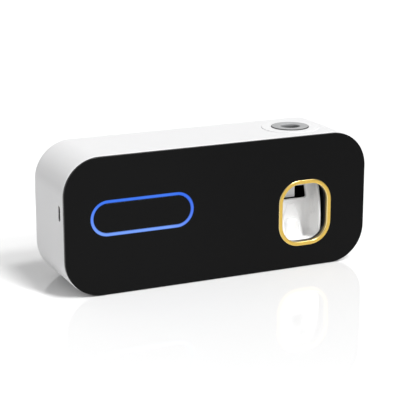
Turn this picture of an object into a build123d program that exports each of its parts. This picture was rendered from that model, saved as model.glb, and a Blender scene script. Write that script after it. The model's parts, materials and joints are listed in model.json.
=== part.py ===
from build123d import *
import math
import os

# Landscape wall or shelf steriliser for toothbrushes, with a push-lever toothpaste dispenser.
# Millimetres. Origin at the middle of the footprint on the table, +X to the right seen from
# the front, +Y towards the wall, +Z up.

# Housing
body_width = 200.0
body_height = 84.0
corner_radius = 23.0
shell_depth = 50.0
wall = 2.4
rim_round = 1.0
back_round = 0.6
panel_thickness = 2.0
panel_inset = 0.3
panel_edge_round = 0.25
fit_gap = 0.2
carrier_thickness = 2.5
cover_thickness = 2.0
cover_recess = 0.6

# Screws and the bosses that they bite into
boss_radius = 4.0
boss_sink = 0.5
screw_head_radius = 2.4
screw_head_height = 1.1
screw_radius = 1.25
screw_length = 9.0
screw_drive_depth = 0.6
screw_drive_width = 0.6
pilot_gap = 0.02
small_head_radius = 1.9
small_head_height = 1.0
small_screw_radius = 0.9
small_screw_length = 4.6
small_boss_radius = 2.8

# Lit oval key
key_from_left = 49.0
key_rise = 4.8
ring_width = 65.6
ring_height = 21.8
ring_band = 1.9
ring_recess = 0.2
ring_seat_depth = 1.5
key_gap = 0.15
key_face_round = 0.25
key_travel = 0.7
key_floor_spare = 0.1
stem_radius = 2.0
stem_gap = 0.3
post_offset = 21.0
post_radius = 1.25
post_gap = 0.05
post_reach = 0.9
cup_radius = 2.8
cup_wall = 1.0
cup_depth = 3.3
key_spring_radius = 2.05
key_spring_wire = 0.2
key_spring_turns = 4
gap_points = 4
clip_radius = 2.3
clip_thickness = 0.5
contact_gap = 0.05
led_count = 12
led_length = 2.0
led_width = 1.2
led_height = 0.8
light_hole_radius = 0.8

# Main circuit board
board_standoff = 5.1
board_thickness = 1.6
board_height = 52.0
board_corner = 3.0
board_side_gap = 2.0
board_hole_inset_x = 9.5
board_hole_inset_z = 5.0
board_right_gap = 9.8
switch_side = 6.0
switch_height = 3.5
plunger_radius = 1.7
plunger_gap = 0.05
plunger_sunk = 1.0
plunger_proud = 1.5

# Charging socket
usb_rise = 8.7
usb_width = 8.94
usb_thickness = 3.2
usb_depth = 7.35
usb_metal = 0.3
usb_mouth_recess = 0.4
usb_slot_gap = 0.15
usb_corner = 1.45
tongue_width = 6.7
tongue_thickness = 0.7
tongue_length = 5.2
usb_back_block = 1.6

# Dispenser window and its gold trim
window_from_right = 42.5
window_drop = 6.95
trim_width = 36.5
trim_height = 42.1
trim_corner = 14.4
trim_band = 2.6
trim_proud = 0.4
trim_round = 0.55
trim_gap = 0.15
carrier_window_gap = 0.2

# Toothpaste port on the top
port_shift = 2.4
port_radius = 11.85
port_bore_radius = 6.0
port_bore_depth = 14.0
port_proud = 1.0
port_edge_round = 0.6
port_mouth_round = 0.8
port_stem_radius = 9.0
port_stem_gap = 0.3
collar_radius = 18.0
collar_seat_depth = 1.4
collar_proud = 0.4
collar_gap = 0.1
collar_edge_round = 0.3
valve_thickness = 1.0
valve_lip_length = 2.4
valve_lip_radius = 3.0
valve_lip_thickness = 1.8
valve_slit_length = 3.6
slit_width = 0.3
seat_neck_radius = 4.6

# Pump and nozzle
pump_radius = 8.3
pump_height = 18.0
pump_wall = 1.3
pump_neck_radius = 3.4
shelf_rise = 8.0
shelf_thickness = 2.0
shelf_width = 15.0
nozzle_width = 9.2
nozzle_shift = -2.4
nozzle_depth = 8.0
nozzle_setback = 22.0
nozzle_drop = 2.6
nozzle_bore_radius = 2.2
nozzle_edge_round = 0.4
tab_height = 9.0
tab_thickness = 2.0
nozzle_screw_offset = 5.5
lip_rim = 1.0
lip_depth = 2.0
lip_recess = 0.3
lip_slit_length = 3.2

# Push lever
lever_half_width = 14.2
lever_wall = 1.5
lever_back_wall = 1.6
lever_rim_setback = 4.8
lever_back_setback = 19.0
lever_floor_gap = 3.8
lever_corner = 6.0
lever_back_round = 3.0
lever_rim_radius = 66.0
lever_rim_drop = 14.0
lever_rim_round = 0.5
lever_arc_top_rise = 20.0
notch_half_width = 11.4
notch_top_half_width = 9.9
notch_taper_rise = 10.0
notch_shoulder_rise = 2.0
notch_drop = 2.9
notch_corner = 1.2
bump_width = 10.0
bump_top_drop = 14.5
bump_reach = 4.2
bump_corner = 3.4
bump_round = 2.4
ramp_top_drop = 6.0
ramp_top_half_width = 2.6
ramp_top_reach = 0.5
ramp_low_half_width = 10.4
ramp_low_reach = 3.6
pusher_setback = 14.0
pusher_thickness = 2.4
pusher_low_rise = 10.5
pusher_high_rise = 18.5
pad_radius = 3.9
pad_gap = 0.3
pivot_rise = 30.0
ear_radius = 4.5
arm_lean = 30.0
arm_back_rise = 12.0
cut_margin = 1.0
ear_side_gap = 0.2
ear_boss_radius = 3.2
pin_radius = 1.5
pin_gap = 0.05
pin_seat_gap = 0.02
lever_spring_radius = 3.7
lever_spring_wire = 0.4
lever_spring_turns = 7
lever_spring_drop = 14.0
spring_stub_radius = 2.6
spring_stub_length = 2.5

# Dispenser housing
bay_half_width = 15.7
bay_wall = 2.0
lead_bay_gap = 0.8
bay_back_setback = 42.0
bay_ceiling = 2.0
bay_tab_reach = 6.6
bay_tab_half_height = 3.6
bay_tab_thickness = 2.0
bay_tab_standoff = 2.0
bay_tab_high_rise = 21.0
bay_tab_low_drop = 24.0

# Brush chamber
liner_wall = 1.2
liner_front_gap = 2.3
liner_back_gap = 4.3
liner_right_gap = 8.0
liner_top_gap = 4.6
slot_count = 4
slot_end_margin = 16.8
slot_wide_radius = 8.5
slot_neck_width = 7.5
slot_wide_setback = 3.5
slot_neck_reach = 9.5
rack_recess = 0.5
rack_flange = 2.5
rack_flange_thickness = 1.6
rack_corner = 4.0
rack_side_margin = 4.5
rack_front_y = -13.5
rack_back_y = 17.5
grip_outer_radius = 6.5
grip_inner_radius = 3.4
grip_mouth = 5.6
grip_height = 4.0

# Ultraviolet lamp strip
lamp_window_margin = 8.3
lamp_window_depth = 10.0
lamp_window_gap = 0.1
lamp_board_overhang = 3.0
lamp_board_depth = 14.0
lamp_board_thickness = 1.6
lamp_stud_height = 1.6
lamp_stud_radius = 1.2
lamp_stud_inset = 1.5
lamp_led_side = 3.5
lamp_led_height = 1.2

# Battery
cell_thickness = 8.0
cell_depth = 32.0
cell_round = 1.5
cradle_wall = 1.2
cradle_gap = 0.2
cradle_from_bay = 4.4
cradle_boss_gap = 0.7

# Leads
lead_radius = 0.7
battery_lead_radius = 1.0
battery_lead_inset = 1.8
lead_bend = 2.5
lead_floor_gap = 3.6
connector_width = 6.0
connector_height = 5.0
connector_depth = 2.1
plug_inset = 4.0
battery_plug_rise = 12.5
lamp_plug_drop = 5.0

# Chips on the main board
chip_side = 10.0
chip_height = 1.2
chip_rise = 4.0
choke_radius = 3.0
choke_height = 1.9
choke_offset = 14.0
choke_drop = 8.0
capacitor_count = 4
capacitor_pitch = 4.0
capacitor_length = 2.0
capacitor_width = 1.3
capacitor_height = 1.0
capacitor_offset = -24.0
capacitor_drop = 11.4

# Wall hanging slots in the back cover
hanger_spacing = 120.0
hanger_rise = 14.0
hanger_head_radius = 4.0
hanger_slot_width = 4.4
hanger_slot_rise = 8.0

# Planes and places worked out from the sizes above
total_depth = trim_proud + panel_thickness + shell_depth
trim_front_y = -total_depth / 2
panel_front_y = trim_front_y + trim_proud
shell_front_y = panel_front_y + panel_thickness
back_y = shell_front_y + shell_depth
carrier_back_y = shell_front_y + carrier_thickness
cover_back_y = back_y - cover_recess
cover_front_y = cover_back_y - cover_thickness
mid_z = body_height / 2
ceiling_z = body_height - wall

key_x = -body_width / 2 + key_from_left
key_z = mid_z + key_rise
ring_front_y = panel_front_y + ring_recess
ring_back_y = shell_front_y + ring_seat_depth
key_width = ring_width - 2 * ring_band - 2 * key_gap
key_height = ring_height - 2 * ring_band - 2 * key_gap
key_back_y = ring_back_y - key_travel - key_floor_spare
cup_floor_y = ring_back_y + cup_depth
cup_end_y = cup_floor_y + cup_wall
post_end_y = cup_end_y + post_reach

board_front_y = carrier_back_y + board_standoff
board_back_y = board_front_y + board_thickness
window_x = body_width / 2 - window_from_right
window_z = mid_z - window_drop
bay_left_x = window_x - bay_half_width - bay_wall
bay_right_x = window_x + bay_half_width + bay_wall
board_left_x = -body_width / 2 + wall + board_side_gap
board_right_x = bay_left_x - board_right_gap
board_mid_x = (board_left_x + board_right_x) / 2
switch_front_y = board_front_y - switch_height
plunger_front_y = switch_front_y - plunger_proud
plunger_back_y = switch_front_y + plunger_sunk
usb_z = mid_z + usb_rise
usb_y = board_front_y - usb_thickness / 2
usb_mouth_x = -body_width / 2 + usb_mouth_recess

port_x = window_x + port_shift
port_y = 0.0
collar_floor_z = body_height - collar_seat_depth
port_top_z = body_height + port_proud
port_bore_floor_z = port_top_z - port_bore_depth
pivot_y = port_y
pivot_z = mid_z + pivot_rise
lever_rim_y = panel_front_y + lever_rim_setback
lever_back_inner_y = panel_front_y + lever_back_setback
lever_back_y = lever_back_inner_y + lever_back_wall
bay_floor_z = wall + lead_floor_gap + battery_lead_radius + lead_bay_gap + bay_wall
lever_bottom_z = bay_floor_z + lever_floor_gap
nozzle_front_y = panel_front_y + nozzle_setback
nozzle_back_y = nozzle_front_y + nozzle_depth
nozzle_bottom_z = mid_z - nozzle_drop
nozzle_x = port_x + nozzle_shift
shelf_x = (port_x + nozzle_x) / 2
pusher_front_y = panel_front_y + pusher_setback
pusher_back_y = pusher_front_y + pusher_thickness
pump_front_y = port_y - pump_radius
shelf_top_z = mid_z + shelf_rise
pump_top_z = shelf_top_z + pump_height
bay_back_inner_y = panel_front_y + bay_back_setback
bay_back_y = bay_back_inner_y + bay_wall
spring_z = mid_z - lever_spring_drop

liner_front_y = board_back_y + liner_front_gap
liner_back_y = cover_front_y - liner_back_gap
liner_left_x = -body_width / 2 + corner_radius + fit_gap
liner_right_x = bay_left_x - liner_right_gap
rack_top_z = wall + rack_flange_thickness
liner_top_z = ceiling_z - liner_top_gap
chamber_x = (liner_left_x + liner_right_x) / 2
slot_pitch = (liner_right_x - liner_left_x - 2 * slot_end_margin) / (slot_count - 1)
lamp_window_width = liner_right_x - liner_left_x - 2 * lamp_window_margin
lamp_board_width = lamp_window_width + 2 * lamp_board_overhang
slot_wide_y = (rack_front_y + rack_back_y) / 2 - slot_wide_setback
slot_end_y = (rack_front_y + rack_back_y) / 2 + slot_neck_reach
lamp_y = (liner_front_y + liner_back_y) / 2
lamp_board_z = liner_top_z + lamp_stud_height
cradle_left_x = bay_right_x + cradle_from_bay
cell_left_x = cradle_left_x + cradle_wall + cradle_gap
boss_reach = (corner_radius - wall - boss_radius + boss_sink) / math.sqrt(2)
boss_x = body_width / 2 - corner_radius + boss_reach
boss_rise = body_height / 2 - corner_radius + boss_reach
cell_height = 2 * (boss_rise - boss_radius - cradle_boss_gap - cradle_wall - cradle_gap)


def slab_y(sketch, x, z, y_front, y_back):
    """A sketch drawn in X and Z, carried from one Y to the other."""
    return extrude(Plane.XZ.offset(-y_back) * Pos(x, z) * sketch, amount=y_back - y_front)


def slab_x(sketch, y, z, x_left, x_right):
    """A sketch drawn in Y and Z, carried from one X to the other."""
    return extrude(Plane.YZ.offset(x_left) * Pos(y, z) * sketch, amount=x_right - x_left)


def slab_z(sketch, x, y, z_low, z_high):
    """A sketch drawn in X and Y, carried from one Z to the other."""
    return extrude(Plane.XY.offset(z_low) * Pos(x, y) * sketch, amount=z_high - z_low)


def block(x_left, x_right, y_front, y_back, z_low, z_high):
    """A plain box between two corners."""
    size = (x_right - x_left, y_back - y_front, z_high - z_low)
    middle = ((x_left + x_right) / 2, (y_front + y_back) / 2, (z_low + z_high) / 2)
    return Pos(*middle) * Box(*size)


def front_edges(part):
    """The edges round the foremost flat face of a part."""
    return part.faces().sort_by(Axis.Y)[0].edges()


def back_edges(part):
    """The edges round the rearmost flat face of a part."""
    return part.faces().sort_by(Axis.Y)[-1].edges()


def top_edges(part):
    """The edges round the highest flat face of a part."""
    return part.faces().sort_by(Axis.Z)[-1].edges()


def body_outline(inset):
    """The rounded outline of the housing, drawn in by an inset."""
    return RectangleRounded(body_width - 2 * inset, body_height - 2 * inset, corner_radius - inset)


def racetrack(width, height):
    """A slot outline with fully round ends."""
    return SlotOverall(width, height)


def boss_places():
    """The four corner bosses, sunk a little into the rounded inner corners of the shell."""
    return [(sx * boss_x, mid_z + sz * boss_rise) for sx in (-1, 1) for sz in (-1, 1)]


def board_hole_places():
    """The four fixing holes of the main board."""
    low_z = mid_z - board_height / 2 + board_hole_inset_z
    high_z = mid_z + board_height / 2 - board_hole_inset_z
    xs = (board_left_x + board_hole_inset_x, board_right_x - board_hole_inset_x)
    return [(x, z) for x in xs for z in (low_z, high_z)]


def bay_tab_places():
    """The four fixing tabs beside the dispenser housing."""
    half = bay_half_width + bay_wall + bay_tab_reach - bay_tab_half_height
    zs = (mid_z - bay_tab_low_drop, mid_z + bay_tab_high_rise)
    return [(window_x + sx * half, z) for sx in (-1, 1) for z in zs]


def slot_places():
    """The X places of the brush slots."""
    first = chamber_x - slot_pitch * (slot_count - 1) / 2
    return [first + slot_pitch * n for n in range(slot_count)]


def screw_y(x, z, y_seat, towards_back, head_radius, head_height, radius, length):
    """A screw along Y, with its head's underside at y_seat and a straight drive slot."""
    if towards_back:
        head = slab_y(Circle(head_radius), x, z, y_seat - head_height, y_seat)
        shank = slab_y(Circle(radius), x, z, y_seat, y_seat + length)
        face = y_seat - head_height
        slot = block(x - head_radius, x + head_radius, face, face + screw_drive_depth,
                     z - screw_drive_width / 2, z + screw_drive_width / 2)
    else:
        head = slab_y(Circle(head_radius), x, z, y_seat, y_seat + head_height)
        shank = slab_y(Circle(radius), x, z, y_seat - length, y_seat)
        face = y_seat + head_height
        slot = block(x - head_radius, x + head_radius, face - screw_drive_depth, face,
                     z - screw_drive_width / 2, z + screw_drive_width / 2)
    return head + shank - slot


def biarc(start, start_way, end, end_way):
    """Two arcs that join two points and meet both directions smoothly."""
    chord = end - start
    both = start_way + end_way
    along = chord.dot(both)
    spread = 2 * (1 - start_way.dot(end_way))
    reach = (math.sqrt(along * along + spread * chord.dot(chord)) - along) / spread
    first_corner = start + start_way * reach
    last_corner = end - end_way * reach
    middle = (first_corner + last_corner) / 2
    middle_way = (last_corner - first_corner).normalized()
    return [TangentArc(start, middle, tangent=start_way), TangentArc(middle, end, tangent=middle_way)]


def coil(radius, wire, turns, length):
    """An open coil spring along +Z from the origin, swept on arcs of a quarter turn."""
    pitch = (length - 2 * wire) / turns
    points = []
    ways = []
    for step in range(4 * turns + 1):
        angle = step * math.pi / 2
        height = wire + pitch * step / 4
        points.append(Vector(radius * math.cos(angle), radius * math.sin(angle), height))
        rise = pitch / (2 * math.pi)
        ways.append(Vector(-radius * math.sin(angle), radius * math.cos(angle), rise).normalized())
    arcs = []
    for step in range(4 * turns):
        arcs += biarc(points[step], ways[step], points[step + 1], ways[step + 1])
    path = Wire(arcs)
    print("least gap between turns", round(least_gap(arcs, wire), 2))
    return sweep(Plane(origin=points[0], z_dir=ways[0]) * Circle(wire), path=path)


def least_gap(arcs, wire):
    """The least space between a coil's turns, measured on points along its arcs."""
    points = [arc @ (n / gap_points) for arc in arcs for n in range(gap_points)]
    half_turn = 4 * gap_points
    spans = []
    for step, point in enumerate(points):
        spans += [(other - point).length for other in points[step + half_turn:]]
    return min(spans) - 2 * wire


def coil_y(x, z, y_front, y_back, radius, wire, turns):
    """A coil spring that runs along +Y between two seats."""
    return Pos(x, y_front, z) * Rot(-90, 0, 0) * coil(radius, wire, turns, y_back - y_front)


def tube(points, radius, bend):
    """A round lead along straight runs with rounded corners."""
    path = FilletPolyline(*points, radius=bend)
    section = Plane(origin=path @ 0, z_dir=path % 0) * Circle(radius)
    return sweep(section, path=path)


def window_outline(margin):
    """The dispenser window, drawn larger than the trim's inner edge by a margin."""
    inner_width = trim_width - 2 * trim_band + 2 * margin
    inner_height = trim_height - 2 * trim_band + 2 * margin
    return RectangleRounded(inner_width, inner_height, trim_corner - trim_band + margin)


def make_shell():
    """White sleeve that carries everything, with corner bosses and the port, socket and slot cuts."""
    shell = slab_y(body_outline(0), 0, mid_z, shell_front_y, back_y)
    shell = fillet(front_edges(shell), rim_round)
    shell = fillet(back_edges(shell), back_round)
    shell -= slab_y(body_outline(wall), 0, mid_z, shell_front_y, back_y)
    for x, z in boss_places():
        shell += slab_y(Circle(boss_radius), x, z, carrier_back_y, cover_front_y)
    shell = shell & slab_y(body_outline(0), 0, mid_z, shell_front_y, back_y)
    pilot = screw_radius + pilot_gap
    for x, z in boss_places():
        shell -= slab_y(Circle(pilot), x, z, carrier_back_y, carrier_back_y + screw_length)
        shell -= slab_y(Circle(pilot), x, z, cover_front_y - screw_length, cover_front_y)
    seat = Circle(collar_radius + collar_gap)
    shell -= slab_z(seat, port_x, port_y, collar_floor_z, body_height)
    shell -= slab_z(Circle(port_stem_radius + port_stem_gap), port_x, port_y, ceiling_z, body_height)
    slot = RectangleRounded(usb_thickness + 2 * usb_slot_gap, usb_width + 2 * usb_slot_gap,
                            usb_corner + usb_slot_gap)
    shell -= slab_x(slot, usb_y, usb_z, -body_width / 2, -body_width / 2 + wall)
    return shell - rack_outline(0, 0, wall)


def rack_outline(inset, z_low, z_high):
    """The rounded plug of the brush rack that fills the cut in the bottom wall."""
    left = liner_left_x + rack_side_margin - rack_flange + inset
    right = liner_right_x - rack_side_margin - inset
    depth = rack_back_y - rack_front_y - 2 * inset
    outline = RectangleRounded(right - left, depth, rack_corner - inset)
    return slab_z(outline, (left + right) / 2, (rack_front_y + rack_back_y) / 2, z_low, z_high)


def hanger_cut():
    """Keyholes for two wall screws, a round entry with a narrow slot above it."""
    z = mid_z + hanger_rise
    cut = None
    for side in (-1, 1):
        x = side * hanger_spacing / 2
        entry = slab_y(Circle(hanger_head_radius), x, z, cover_front_y, cover_back_y)
        slot = block(x - hanger_slot_width / 2, x + hanger_slot_width / 2, cover_front_y, cover_back_y,
                     z, z + hanger_slot_rise)
        top = slab_y(Circle(hanger_slot_width / 2), x, z + hanger_slot_rise, cover_front_y, cover_back_y)
        keyhole = entry + slot + top
        cut = keyhole if cut is None else cut + keyhole
    return cut


def make_back_cover():
    """Flat cover let into the back of the shell."""
    cover = slab_y(body_outline(wall + fit_gap), 0, mid_z, cover_front_y, cover_back_y)
    for x, z in boss_places():
        cover -= slab_y(Circle(screw_radius + fit_gap), x, z, cover_front_y, cover_back_y)
        head_floor_y = cover_back_y - screw_head_height
        cover -= slab_y(Circle(screw_head_radius + fit_gap), x, z, head_floor_y, cover_back_y)
    return cover - hanger_cut()


def make_back_cover_screws():
    """Four screws that hold the back cover."""
    seat = cover_back_y - screw_head_height
    return [screw_y(x, z, seat, False, screw_head_radius, screw_head_height, screw_radius, screw_length)
            for x, z in boss_places()]


def make_front_panel():
    """Gloss black face, cut for the light ring and for the window trim."""
    panel = slab_y(body_outline(panel_inset), 0, mid_z, panel_front_y, shell_front_y)
    panel = fillet(front_edges(panel), panel_edge_round)
    panel -= slab_y(racetrack(ring_width, ring_height), key_x, key_z, panel_front_y, shell_front_y)
    trim_hole_width = trim_width + 2 * trim_gap
    trim_hole_height = trim_height + 2 * trim_gap
    trim_hole = RectangleRounded(trim_hole_width, trim_hole_height, trim_corner + trim_gap)
    return panel - slab_y(trim_hole, window_x, window_z, panel_front_y, shell_front_y)


def light_hole_places():
    """Places spaced evenly round the middle line of the light ring."""
    width = ring_width - ring_band
    height = ring_height - ring_band
    line = racetrack(width, height).wire()
    return [line.position_at(n / led_count) for n in range(led_count)]


def make_panel_carrier():
    """Black frame behind the face, with the key's floor, spring cups and the board's bosses."""
    carrier = slab_y(body_outline(wall + fit_gap), 0, mid_z, shell_front_y, carrier_back_y)
    for sign in (-1, 1):
        x = key_x + sign * post_offset
        carrier += slab_y(Circle(cup_radius + cup_wall), x, key_z, carrier_back_y, cup_end_y)
    for x, z in board_hole_places():
        carrier += slab_y(Circle(small_boss_radius), x, z, carrier_back_y, board_front_y)
        carrier -= slab_y(Circle(small_screw_radius + pilot_gap), x, z, carrier_back_y, board_front_y)
    for x, z in bay_tab_places():
        standoff_y = carrier_back_y + bay_tab_standoff
        carrier += slab_y(Circle(small_boss_radius), x, z, carrier_back_y, standoff_y)
        carrier -= slab_y(Circle(small_screw_radius + pilot_gap), x, z, shell_front_y + fit_gap, standoff_y)
    seat = racetrack(ring_width + fit_gap, ring_height + fit_gap)
    carrier -= slab_y(seat, key_x, key_z, shell_front_y, ring_back_y)
    carrier -= slab_y(Circle(stem_radius + stem_gap), key_x, key_z, ring_back_y, carrier_back_y)
    for sign in (-1, 1):
        x = key_x + sign * post_offset
        carrier -= slab_y(Circle(cup_radius), x, key_z, ring_back_y, cup_floor_y)
        carrier -= slab_y(Circle(post_radius + post_gap), x, key_z, cup_floor_y, cup_end_y)
    for place in light_hole_places():
        hole = Circle(light_hole_radius)
        carrier -= slab_y(hole, key_x + place.X, key_z + place.Y, ring_back_y, carrier_back_y)
    carrier -= slab_y(window_outline(carrier_window_gap), window_x, window_z, shell_front_y, carrier_back_y)
    for x, z in boss_places():
        carrier -= slab_y(Circle(screw_radius + fit_gap), x, z, shell_front_y, carrier_back_y)
        head_floor_y = shell_front_y + screw_head_height
        carrier -= slab_y(Circle(screw_head_radius + fit_gap), x, z, shell_front_y, head_floor_y)
    return carrier


def make_carrier_screws():
    """Four screws under the face that hold the carrier to the shell."""
    seat = shell_front_y + screw_head_height
    return [screw_y(x, z, seat, True, screw_head_radius, screw_head_height, screw_radius, screw_length)
            for x, z in boss_places()]


def make_light_ring():
    """Diffusing ring round the key, lit from behind."""
    ring = slab_y(racetrack(ring_width, ring_height), key_x, key_z, ring_front_y, ring_back_y)
    inner = racetrack(ring_width - 2 * ring_band, ring_height - 2 * ring_band)
    return ring - slab_y(inner, key_x, key_z, ring_front_y, ring_back_y)


def make_power_key():
    """Oval key cap with a middle stem and two guide posts."""
    key = slab_y(racetrack(key_width, key_height), key_x, key_z, panel_front_y, key_back_y)
    key = fillet(front_edges(key), key_face_round)
    key += slab_y(Circle(stem_radius), key_x, key_z, key_back_y, plunger_front_y - contact_gap)
    for sign in (-1, 1):
        key += slab_y(Circle(post_radius), key_x + sign * post_offset, key_z, key_back_y, post_end_y)
    return key


def make_key_clips():
    """Two clips on the ends of the key's posts that keep the key in."""
    clips = []
    for sign in (-1, 1):
        x = key_x + sign * post_offset
        y_front = cup_end_y + contact_gap
        disc = slab_y(Circle(clip_radius), x, key_z, y_front, y_front + clip_thickness)
        clips.append(disc - slab_y(Circle(post_radius), x, key_z, y_front, y_front + clip_thickness))
    return clips


def make_key_springs():
    """Two small coils in the cups under the key."""
    return [coil_y(key_x + sign * post_offset, key_z, key_back_y, cup_floor_y, key_spring_radius,
                   key_spring_wire, key_spring_turns) for sign in (-1, 1)]


def make_window_trim():
    """Gold ring set in the face round the dispenser window."""
    trim = slab_y(RectangleRounded(trim_width, trim_height, trim_corner), window_x, window_z,
                  trim_front_y, shell_front_y)
    trim -= slab_y(window_outline(0), window_x, window_z, trim_front_y, shell_front_y)
    return fillet(front_edges(trim), trim_round)


def make_main_board():
    """Upright circuit board behind the key."""
    width = board_right_x - board_left_x
    board = slab_y(RectangleRounded(width, board_height, board_corner), board_mid_x, mid_z,
                   board_front_y, board_back_y)
    for x, z in board_hole_places():
        board -= slab_y(Circle(small_screw_radius + fit_gap), x, z, board_front_y, board_back_y)
    return board


def make_board_screws():
    """Four small screws that hold the board on the carrier's bosses."""
    return [screw_y(x, z, board_back_y, False, small_head_radius, small_head_height,
                    small_screw_radius, small_screw_length) for x, z in board_hole_places()]


def make_board_parts():
    """Controller chip, choke, capacitors and two plug-in connectors on the board's back."""
    parts = [on_board(board_mid_x, mid_z + chip_rise, chip_side, chip_height, chip_side)]
    choke_x = board_mid_x + choke_offset
    choke_z = mid_z - choke_drop
    parts.append(slab_y(Circle(choke_radius), choke_x, choke_z, board_back_y, board_back_y + choke_height))
    for n in range(capacitor_count):
        x = board_mid_x + capacitor_offset + capacitor_pitch * n
        parts.append(on_board(x, mid_z - capacitor_drop, capacitor_length, capacitor_height, capacitor_width))
    for x, z in (battery_plug_place(), lamp_plug_place()):
        parts.append(on_board(x, z, connector_width, connector_depth, connector_height))
    return parts


def battery_plug_place():
    """The middle of the battery lead's connector, on the board's lower right."""
    return (board_right_x - plug_inset, mid_z - board_height / 2 + battery_plug_rise)


def lamp_plug_place():
    """The middle of the lamp lead's connector, near the board's top."""
    return (chamber_x, mid_z + board_height / 2 - lamp_plug_drop)


def on_board(x, z, width, depth, height):
    """A block that stands on the main board's back face."""
    return block(x - width / 2, x + width / 2, board_back_y, board_back_y + depth,
                 z - height / 2, z + height / 2)


def make_ring_leds():
    """Small lamps on the board behind the light ring."""
    return [block(key_x + p.X - led_length / 2, key_x + p.X + led_length / 2,
                  board_front_y - led_height, board_front_y,
                  key_z + p.Y - led_width / 2, key_z + p.Y + led_width / 2) for p in light_hole_places()]


def make_tact_switch():
    """Switch body on the board, bored for its plunger."""
    half = switch_side / 2
    switch = block(key_x - half, key_x + half, switch_front_y, board_front_y, key_z - half, key_z + half)
    bore_end_y = plunger_back_y + key_travel + contact_gap
    return switch - slab_y(Circle(plunger_radius + plunger_gap), key_x, key_z, switch_front_y, bore_end_y)


def make_switch_plunger():
    """The switch's plunger, which the key's stem pushes."""
    return slab_y(Circle(plunger_radius), key_x, key_z, plunger_front_y, plunger_back_y)


def make_usb_socket():
    """Metal shell of the charging socket, upright in the left wall."""
    outer = RectangleRounded(usb_thickness, usb_width, usb_corner)
    inner = RectangleRounded(usb_thickness - 2 * usb_metal, usb_width - 2 * usb_metal, usb_corner - usb_metal)
    end_x = usb_mouth_x + usb_depth
    socket = slab_x(outer, usb_y, usb_z, usb_mouth_x, end_x)
    return socket - slab_x(inner, usb_y, usb_z, usb_mouth_x, end_x)


def make_usb_tongue():
    """The socket's insert, a back block with the flat contact tongue."""
    end_x = usb_mouth_x + usb_depth
    inner = RectangleRounded(usb_thickness - 2 * usb_metal, usb_width - 2 * usb_metal, usb_corner - usb_metal)
    base = slab_x(inner, usb_y, usb_z, end_x - usb_back_block, end_x)
    tip_x = end_x - usb_back_block - tongue_length
    return base + block(tip_x, end_x - usb_back_block, usb_y - tongue_thickness / 2,
                        usb_y + tongue_thickness / 2, usb_z - tongue_width / 2, usb_z + tongue_width / 2)


def make_port_collar():
    """White ring let into the top round the toothpaste port."""
    collar = slab_z(Circle(collar_radius), port_x, port_y, collar_floor_z, body_height + collar_proud)
    collar = fillet(top_edges(collar), collar_edge_round)
    hole = Circle(port_radius + collar_gap)
    return collar - slab_z(hole, port_x, port_y, collar_floor_z, body_height + collar_proud)


def make_port_seat():
    """Soft grey socket that grips the neck of a toothpaste tube."""
    seat = slab_z(Circle(port_radius), port_x, port_y, collar_floor_z, port_top_z)
    seat = fillet(top_edges(seat), port_edge_round)
    seat += slab_z(Circle(port_stem_radius), port_x, port_y, pump_top_z, collar_floor_z)
    seat -= slab_z(Circle(port_bore_radius), port_x, port_y, port_bore_floor_z, port_top_z)
    seat -= slab_z(Circle(seat_neck_radius), port_x, port_y, pump_top_z, port_bore_floor_z)
    mouth = top_edges(seat).sort_by(SortBy.RADIUS)[0]
    return fillet(mouth, port_mouth_round)


def make_inlet_valve():
    """Soft one-way valve in the seat's neck, a disc with a drooping two-lip spout."""
    low_z = pump_top_z
    valve = slab_z(Circle(seat_neck_radius), port_x, port_y, low_z, low_z + valve_thickness)
    lip_low_z = low_z - valve_lip_length
    spout = slab_z(Circle(valve_lip_radius), port_x, port_y, lip_low_z, low_z)
    half = valve_lip_thickness / 2
    spout = spout & block(port_x - valve_lip_radius, port_x + valve_lip_radius, port_y - half, port_y + half,
                          lip_low_z, low_z)
    return valve + spout - slit_cut(port_x, valve_slit_length, lip_low_z, low_z + valve_thickness)


def slit_cut(x, length, low_z, high_z):
    """The thin slit of a soft valve, along X."""
    half = slit_width / 2
    return block(x - length / 2, x + length / 2, port_y - half, port_y + half, low_z, high_z)


def make_pump_bulb():
    """Soft bulb that the lever squeezes to push paste out."""
    bulb = slab_z(Circle(pump_radius), port_x, port_y, shelf_top_z, pump_top_z)
    bulb = fillet(bulb.edges().filter_by(GeomType.CIRCLE), pump_wall)
    inner_low_z = shelf_top_z + pump_wall
    inner = slab_z(Circle(pump_radius - pump_wall), port_x, port_y, inner_low_z, pump_top_z - pump_wall)
    bulb -= inner
    bulb -= slab_z(Circle(pump_neck_radius), port_x, port_y, pump_top_z - pump_wall, pump_top_z)
    return bulb - slab_z(Circle(nozzle_bore_radius), nozzle_x, port_y, shelf_top_z, inner_low_z)


def make_nozzle_block():
    """White outlet block on a shelf that carries the bulb, with a tab for two screws."""
    left = nozzle_x - nozzle_width / 2
    right = nozzle_x + nozzle_width / 2
    nozzle = block(left, right, nozzle_front_y, nozzle_back_y, nozzle_bottom_z, shelf_top_z)
    sides = nozzle.faces().sort_by(Axis.Y)[0].edges() + nozzle.faces().sort_by(Axis.Z)[0].edges()
    nozzle = fillet(sides, nozzle_edge_round)
    shelf_low_z = shelf_top_z - shelf_thickness
    shelf_left = shelf_x - shelf_width / 2
    shelf_right = shelf_x + shelf_width / 2
    nozzle += block(shelf_left, shelf_right, pump_front_y, bay_back_inner_y, shelf_low_z, shelf_top_z)
    tab_y = bay_back_inner_y - tab_thickness
    nozzle += block(shelf_left, shelf_right, tab_y, bay_back_inner_y, shelf_top_z, shelf_top_z + tab_height)
    for x, z in nozzle_screw_places():
        nozzle -= slab_y(Circle(small_screw_radius + pilot_gap), x, z, tab_y, bay_back_inner_y)
    bore = slab_z(Circle(nozzle_bore_radius), nozzle_x, port_y, nozzle_bottom_z, shelf_top_z)
    lip_seat = slab_z(Circle(nozzle_bore_radius + lip_rim), nozzle_x, port_y, nozzle_bottom_z,
                      nozzle_bottom_z + lip_depth)
    return nozzle - bore - lip_seat


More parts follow.
